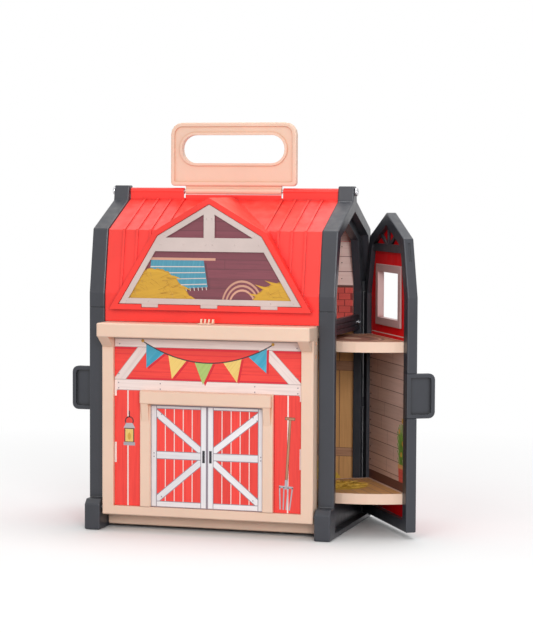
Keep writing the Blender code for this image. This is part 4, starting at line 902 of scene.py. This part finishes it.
def film_print():
    low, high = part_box("window_film")
    card = Print("film_print", window_region(0.0), (high.y - low.y) / MM, 9)
    card.base("film")
    level_boards(card, -110, low.z / MM, 110, high.z / MM, 9.6, "film", "film_gap", 0.7)
    blanket(card)
    # coil of rope
    for k in range(3):
        for radius, name, layer, grain in ((21 - 3.6 * k, "film_peach", 4, 0.3),
                                           (21 - 3.6 * k - 1.7, "film", 5, 0)):
            card.shape(ellipse(33, 222, radius, radius * 1.2, 30, math.pi),
                       name, layer + 2 * k, grain)
    heaps = (heap(-56, 218, 82, 39, 30, 3, 2.4), heap(70, 218, 62, 27, 24, 6, 2.2))
    for outline in heaps:
        card.shapes((outline, "film_hay_dark", 9, 0.2, 0.4),
                    ([(u, v - 1.6) for u, v in outline], "film_hay", 10, 0.2))
    for k, row in enumerate(TUFTS):
        tuft(card, *row, 11 + k)
    matrix = board_frame((0, low.y, 0), *FRONT)
    card.place(matrix, "roof", "window_film")
    strands = [clipped([(u, v - 3.0) for u, v in outline], window_region(8.0))
               for outline in heaps]
    blades("film_straws", strands, "film_hay_dark", matrix, "roof", 0.42, "film",
           per_square_metre=40000.0, length=8 * MM, width=0.22 * MM, lean=math.pi / 2,
           spread=0.9, heading=1.2, seed=4)


film_print()

# %% [markdown]
# ## The open right wall and the closed left wall
#
# A side wall is drawn closed and then swung on its hinge by its rest angle.  The
# card in the wall is seen from inside the barn, so its normal points towards the
# middle.  The upper panel is one plain dark red sheet, with a thin pale line near
# its foot; the card below the shelf shows pale boards with nails and a pot plant.

# %%
HINGE = Vector((122.3, 71.3, 0)) * MM
REST_ANGLE = math.radians(31)
PANEL_FACE = 121.6          # inner face of a closed wall's panel, in millimetres
CARD_BACK, CARD_FRONT = 59.7, -57.6     # ends of its card along Y
CARD_FOOT, CARD_TOP = 42.5, 178.5
BOARD = 13.4                # height of the boards on the card


def swung(side, matrix):
    """A drawing board on a closed wall, turned with the wall to its rest angle."""
    if side < 0:
        return matrix
    return (Matrix.Translation(HINGE) @ Matrix.Rotation(REST_ANGLE, 4, 'Z')
            @ Matrix.Translation(-HINGE)) @ matrix


def wall_matrix(side, depth):
    """Drawing board on a side wall; u runs towards the front on the right wall."""
    return swung(side, board_frame((side * depth * MM, 0, 0), (0, -side, 0), (0, 0, 1)))


def pot_plant(card, u, foot):
    """A plant with yellow flowers in a clay pot."""
    for k in range(4):
        for j in range(7):
            angle = 0.5 + 0.35 * j + 0.15 * k
            tip = (u + 13 * math.cos(angle), foot + 24 + 9 * k + 15 * math.sin(angle))
            card.shape(strip((u, foot + 20 + 7 * k), tip, 1.5 + 0.5 * (j % 2)), "grass", 6 + k)
        card.shape(ellipse(u + 6 * math.sin(2.3 * k), foot + 36 + 11 * k, 2.6, 2.6, 10),
                   "gold", 12)
    card.shapes(([(u - 7, foot + 9), (u + 7, foot + 9), (u + 9, foot + 24), (u - 9, foot + 24)],
                 "brick", 13),
                (rect(u - 10, foot + 22, u + 10, foot + 26), "tan", 14))


def wall_prints(label, side):
    """Card below the shelf, its nails, and the pale line on the panel above it."""
    body, foot = "wall_" + label, CARD_FOOT
    u0, u1 = sorted((-side * CARD_BACK, -side * CARD_FRONT))
    card = Print("wall_print_" + label, rect(u0, foot, u1, CARD_TOP), 1.2,
                 21 if side > 0 else 22)
    card.base("plank")
    level_boards(card, u0, foot, u1, CARD_TOP, BOARD, "stone", "stone_gap", 0.7)
    card.shape(rect(u0, foot, u1, foot + 9), "beam", 4, 0, 0.3)
    pot_plant(card, side * 44.6, foot)
    matrix = wall_matrix(side, PANEL_FACE - 1.5)
    card.place(matrix, body, "wall_card_" + label)
    spots = [(u, foot + BOARD * k + 6) for k in range(1, 10) for u in (u0 + 5, u1 - 5)]
    nails("wall_nails_" + label, spots, 0.8, 0.9, INKS["beam"], matrix, body)

    line = Print("panel_line_" + label, rect(u0 + 2, 192.0, u1 - 2, 192.9), 0.02, 3)
    line.base("white_line")
    line.place(wall_matrix(side, PANEL_FACE - 0.05), body)


for label, side in (("right", 1), ("left", -1)):
    wall_prints(label, side)

# %% [markdown]
# ## Floors that ride on the walls
#
# The quarter-round floors carry printed cards in their rims.  The card's outline is
# worked out like the CAD's: an elliptical quarter with its straight edges at the
# wall and at the back.

# %%
ROOT, REAR = 121.3, 59.7    # the straight edges of a floor: at the wall, at the back
LENGTH, REACH = 117.3, 112.5            # its size along the wall, and into the barn
ARC_STEPS = 18


def quarter(side, inward):
    """Outline of a floor's card on a closed wall, in millimetres."""
    root, rear = ROOT - inward, REAR - inward
    points = [(root, rear)]
    for i in range(ARC_STEPS + 1):
        angle = math.pi / 2 * i / ARC_STEPS
        points.append((root - (REACH - 2 * inward) * math.sin(angle),
                       rear - (LENGTH - 2 * inward) * math.cos(angle)))
    points = [(side * u, v) for u, v in points]
    return points[::-1] if side > 0 else points


def boards_across(card, low, high, pitch, reach, name, gap):
    """Boards along Y over a whole floor."""
    for i in range(int((high - low) / pitch) + 1):
        u = low + i * pitch
        card.shapes((rect(u, -reach, u + pitch, reach), name, 1, UPRIGHT),
                    (rect(u - 0.35, -reach, u + 0.35, reach), gap, 2, UPRIGHT, 0.4))
        for v in (-38 + 17 * (i % 3), 31 - 13 * (i % 2)):
            card.shape(rect(u, v, u + pitch, v + 0.6), gap, 2, 0, 0.4)


def shelf_print(label, side, node, top, rug):
    """The card of one floor: boards, with a rug upstairs and hay downstairs."""
    card = Print(node.replace("card", "print"), quarter(side, 2.5), 0.4, 31)
    card.base("rug" if rug else "plank")
    card.region = quarter(side, 3.4)
    boards_across(card, *sorted((side * 4, side * 124)), 10.5, 75,
                  "wood" if rug else "tan", "plank_gap")
    if rug:
        for k, (name, ru, rv) in enumerate((
                ("rug", 30, 46), ("rug_pale", 27, 42), ("rug", 24.5, 38.5),
                ("wood_dark", 20, 32), ("rug", 16, 27), ("rug_pale", 8, 14))):
            card.shape(ellipse(side * 84, 2, ru, rv, 30), name, 3 + k, 0.4 * k)
    else:
        card.shapes((ellipse(side * 72, 12, 30, 30, 22), "straw", 4, 0.6),
                    (ellipse(side * 84, 26, 14, 12, 16), "film_hay", 6, 0.6))
    matrix = swung(side, board_frame((0, 0, top * MM), *TOP))
    card.place(matrix, "wall_" + label, node)
    return matrix


right_floor = shelf_print("right", 1, "floor_card_right", 42.05, False)
left_floor = shelf_print("left", -1, "floor_card_left", 42.05, False)
shelf_print("right", 1, "shelf_card_right", 188.85, True)
for label, side, matrix in (("right", 1, right_floor), ("left", -1, left_floor)):
    blades("floor_straws_" + label, [ellipse(side * 76, 16, 26, 26, 18)], "straw", matrix,
           "wall_" + label, 0.42, per_square_metre=130000.0, length=9 * MM, width=0.35 * MM,
           lean=math.pi / 2 - 0.06, seed=7)

# %% [markdown]
# ## The rooms inside
#
# The back of each storey is a printed card: pale boards with nails and a dark beam
# upstairs, over a low wall of woven brick-red rushes; warm boards and a stall below.
# The underside of the rear roof, the loft and the ground floor get thin printed
# boards of their own.

# %%
RUSH_TALL, RUSH_LONG = 6.5, 13          # a row of the rush wall, and a rush in it
LOFT_BOARD = 16.2


def loft_print():
    card, matrix, left, right, foot, top = card_print("loft_print", "loft_card", 41)
    card.base("plank")
    level_boards(card, left, foot + 33, right, top, LOFT_BOARD, "plank", "plank_gap", 0.8, False)
    card.shape(rect(left, foot, right, foot + 33), "brick_gap", 1, 0, 0.4)
    for row in range(5):
        low = foot + row * RUSH_TALL
        for i in range(int((right - left) / RUSH_LONG) + 1):
            u = left + RUSH_LONG * i - (RUSH_LONG / 2 if row % 2 else 0)
            card.shape(rect(u + 0.5, low + 0.5, u + 12.5, low + RUSH_TALL),
                       "brick", 2, 0 if (i + row) % 2 else 1.2)
    card.shape(rect(left, foot + 32, right, foot + 34.4), "beam", 4, 0)
    card.place(matrix, "barn", "loft_card")
    spots = [(u, foot + 41 + LOFT_BOARD * k) for k in range(3)
             for u in (left + 12, -62, -20, 22, 64, right - 12)]
    nails("loft_nails", spots, 0.6, 0.6, INKS["wood_dark"], matrix, "barn")


def back_print():
    card, matrix, left, right, foot, top = card_print("back_print", "back_card", 42)
    card.base("tan")
    vertical_boards(card, left, foot, right, top, 15.5, "tan", "wood_dark", 1, 0.7)
    for points, layer, grain in ((rect(left, 150, right, 160), 3, 0),
                                 (rect(left, 62, right, 71), 3, 0),
                                 (strip((-70, 66), (-20, 155), 8), 5, 1.05),
                                 (strip((70, 66), (20, 155), 8), 5, 2.1)):
        card.board(points, "wood", layer, grain)
    card.shapes((heap(-66, 29, 70, 34, 22, 12), "straw", 8, 0.4),
                (heap(70, 29, 60, 26, 22, 14), "straw", 8, 0.8))
    for u in (-34, 0, 34):
        card.shapes((strip((u, 160), (u, 148), 1.6), "black", 9),
                    (ellipse(u, 142, 6.5, 7.5, 18), "iron", 9),
                    (ellipse(u, 141, 4.4, 5.6, 18), "tan", 10, UPRIGHT, 0.5))
    card.place(matrix, "barn", "back_card")


def roof_lining():
    """Printed boards under the rear roof, from the loft card up to the ridge."""
    below = 0.15        # the printed face below the skin of the roof, in millimetres
    for name, low, high in (("lining_low", (63.5, 282.4), (61.9, 292.3)),
                            ("lining_high", (61.6, 292.8), (4.0, 320.6))):
        rise = Vector(high) - Vector(low)
        foot = Vector(low) + left_of(rise).normalized() * below
        card = Print(name, rect(-107, 0, 107, rise.length), 0.1, 43)
        card.base("plank")
        level_boards(card, -107, 0, 107, rise.length, 16.0, "plank", "plank_gap", 0.8, False)
        card.place(board_frame((0, foot.x * MM, foot.y * MM), (1, 0, 0), (0, rise.x, rise.y)),
                   "barn")


def laid_floor(name, node, limits, ink_name, gap, seed):
    """A thin printed sheet of boards on a floor that has no card of its own."""
    u0, _, u1, _ = limits
    card = Print(name, rect(*limits), 0.05, seed)
    card.base(ink_name)
    boards_across(card, u0, u1, 12.2, 80, ink_name, gap)
    matrix = board_frame((0, 0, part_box(node)[1].z + 0.06 * MM), *TOP)
    card.place(matrix, "barn")
    return matrix


loft_print()
back_print()
roof_lining()
ground = laid_floor("ground_print", "base_floor", (-106, -64, 106, 64.5), "tan", "wood_dark", 51)
laid_floor("loft_floor_print", "loft_floor", (-106, -66, 106, 58.5), "plank", "plank_gap", 52)
blades("ground_straws", [ellipse(60, 20, 30, 34, 20), ellipse(-54, 10, 34, 40, 20)],
       "straw", ground, "barn", 0.2, per_square_metre=45000.0, length=10 * MM,
       width=0.35 * MM, lean=math.pi / 2 - 0.05, seed=11)

# %% [markdown]
# ## The yard
#
# When the front wall drops, its back is a farm yard: grass with mown stripes, a
# sandy path, a pond and stepping stones.  Short tufts stand on it.  They stay under
# the rim of the yard, so that the wall still closes.

# %%
STRIPES = 8
STONES = ((3, 40), (8, 62), (2, 86), (-4, 108), (4, 130), (6, 154), (2, 176))


def yard_print():
    card, matrix, left, right, foot, top = card_print("yard_print", "yard_card", 61, BACK)
    card.base("grass")
    wide = (right - left) / STRIPES
    for i in range(STRIPES):
        u = left + i * wide
        card.shape(rect(u, foot, u + wide, top), "grass", 1, UPRIGHT, 0.15 if i % 2 else 0.95)
    card.shape([(-16, foot), (20, foot), (26, 70), (12, 110), (22, 150), (18, top),
                (-14, top), (-8, 150), (-20, 112), (-6, 72)], "path", 3, UPRIGHT)
    for u, v in STONES:
        card.shapes((ellipse(u, v, 6.4, 4.6, 12), "stone_gap", 4, 0.3),
                    (ellipse(u, v + 0.5, 5.7, 4.0, 12), "stone", 5, 0.3))
    card.shapes((ellipse(-62, 150, 26, 19, 26), "path", 3),
                (ellipse(-62, 150, 23, 16, 26), "water", 4))
    # beds with rows of plants
    for v in (40, 64, 88):
        card.shape(rect(44, v, 92, v + 12), "wood_dark", 3, 0)
        for i in range(6):
            root = Vector((48 + 8 * i, v + 4))
            for angle in (0.9, 1.57, 2.24):
                tip = root + Vector((5 * math.cos(angle), 6 * math.sin(angle)))
                card.shape(strip(root, tip, 1.4), "green", 5)
    card.place(matrix, "front", "yard_card")
    lawns = [rect(left + 4, foot + 4, -24, 120), rect(34, 124, right - 4, top - 4)]
    blades("yard_tufts", lawns, "grass", matrix, "front", 1.2, per_square_metre=120000.0,
           length=2.2 * MM, width=0.45 * MM, lean=0.35, seed=8)


yard_print()

# %% [markdown]
# ## Small moulded details
#
# The nail heads moulded in the pale window frame are too fine for the CAD and still
# catch the eye.

# %%
def small_details():
    matrix = board_frame((0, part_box("window_frame")[0].y, 0), *FRONT)
    spots = [(side * u, v) for side in (-1, 1) for u, v in
             ((85, 225.3), (62, 225.3), (50, 281), (26, 281), (3.2, 281), (2.6, 306), (46, 289.6))]
    nails("window_nails", spots, 0.55, 0.25, PLASTICS["pale"], matrix, "roof")


small_details()

# %% [markdown]
# ## Materials for the CAD pieces
#
# Each CAD piece that still shows gets the material of its slot in the record.  Only
# the window frames of the side walls differ: they get a darker, pinker copy of the
# pale plastic, which is painted shade.

# %%
def clothe_cad():
    slots = {entry["node"]: entry["material_slot"] for entry in frame["record"]["subparts"]}
    count = {}
    for name, obj in frame["nodes"].items():
        if obj.hide_render:
            continue
        # the side walls' window frames take the copy of the pale plastic that paints in shade
        slot = "pale_in_painted_shade" if name.startswith("wall_window") else slots[name]
        material = STEEL if slot == "steel" else PLASTICS.get(slot, PLASTICS["peach"])
        obj.data.materials.clear()
        obj.data.materials.append(material)
        count[material.name] = count.get(material.name, 0) + 1
    print("clothed:", count)


clothe_cad()

# %% [markdown]
# ## Studio
#
# A white floor fades into a white world, so that the object stands on plain ground
# and keeps its shadow.  Where the floor lights the object it is a mid grey, which
# keeps the plastic from being washed out from below.  Three large soft lights and an
# even world light it at a plain level.

# %%
FLOOR_REACH, FLOOR_Z = 6.0, -0.0004     # in metres, just below the feet
FLOOR_GREY = (0.42, 0.42, 0.42, 1)      # where the floor lights the object
FADE = (0.3, 0.85)          # metres from the middle over which the floor turns white
WORLD_LIGHT = 0.6


def studio_white():
    """White to the camera and in reflections, a mid grey where it lights the object."""
    material, tree, shader = new_material("studio_white")
    place = tree.place()
    cloud = tree.ramp(tree.noise(place, 1.5), 0.3, 0.7)
    white = tree.mix(cloud, (0.88, 0.88, 0.88, 1), (0.92, 0.92, 0.92, 1))
    seen = tree.seen()
    tree.fill(shader.inputs, {"Base Color": tree.mix(seen, FLOOR_GREY, white),
                              "Roughness": 0.9})
    away = tree.add('ShaderNodeVectorMath', {0: place}, operation='LENGTH').outputs["Value"]
    fade = tree.times(tree.ramp(away, *FADE), seen)
    glow = tree.add('ShaderNodeEmission', {"Color": (1, 1, 1, 1), "Strength": 1.0}).outputs[0]
    both = tree.add('ShaderNodeMixShader', {0: fade, 1: shader.outputs[0], 2: glow}).outputs[0]
    tree.fill(tree.tree.nodes["Material Output"].inputs, {"Surface": both})
    return material


def build_studio():
    """A wide floor just below the feet."""
    mesh = bpy.data.meshes.new("studio_sheet")
    corners = rect(-FLOOR_REACH, -FLOOR_REACH, FLOOR_REACH, FLOOR_REACH)
    mesh.from_pydata([(x, y, FLOOR_Z) for x, y in corners], [], [(0, 1, 2, 3)])
    mesh.materials.append(studio_white())
    sheet = add_object("studio_sheet", mesh)


# name: place, target, size, power, colour
LIGHTS = {
    "key": ((-0.3, -2.2, 1.7), (0, 0, 0.18), 1.1, 9, (1.0, 0.99, 0.97)),
    "fill": ((1.0, -2.0, 0.75), (0.05, 0, 0.2), 0.7, 19.5, (0.98, 0.99, 1.0)),
    "top": ((0.1, 0.3, 2.2), (0, 0, 0.25), 1.1, 18, (1, 1, 1)),
}


def soft_light(name, place, target, size, power, color):
    data = bpy.data.lights.new(name, 'AREA')
    data.size, data.energy, data.color = size, power, color
    light = add_object(name, data)
    light.location = place
    aim = Vector(target) - Vector(place)
    light.rotation_euler = aim.to_track_quat('-Z', 'Y').to_euler()


def light_studio():
    world = bpy.data.worlds.new("studio")
    bpy.context.scene.world = world
    world.use_nodes = True
    tree = Tree(world.node_tree)
    tree.fill(world.node_tree.nodes["Background"].inputs, {
        "Color": (1.0, 1.0, 1.0, 1),
        "Strength": tree.ramp(tree.seen(), 0, 1, WORLD_LIGHT, 1.0)})
    for name, row in LIGHTS.items():
        soft_light(name, *row)
    bpy.context.scene.view_settings.view_transform = 'Standard'


build_studio()
light_studio()
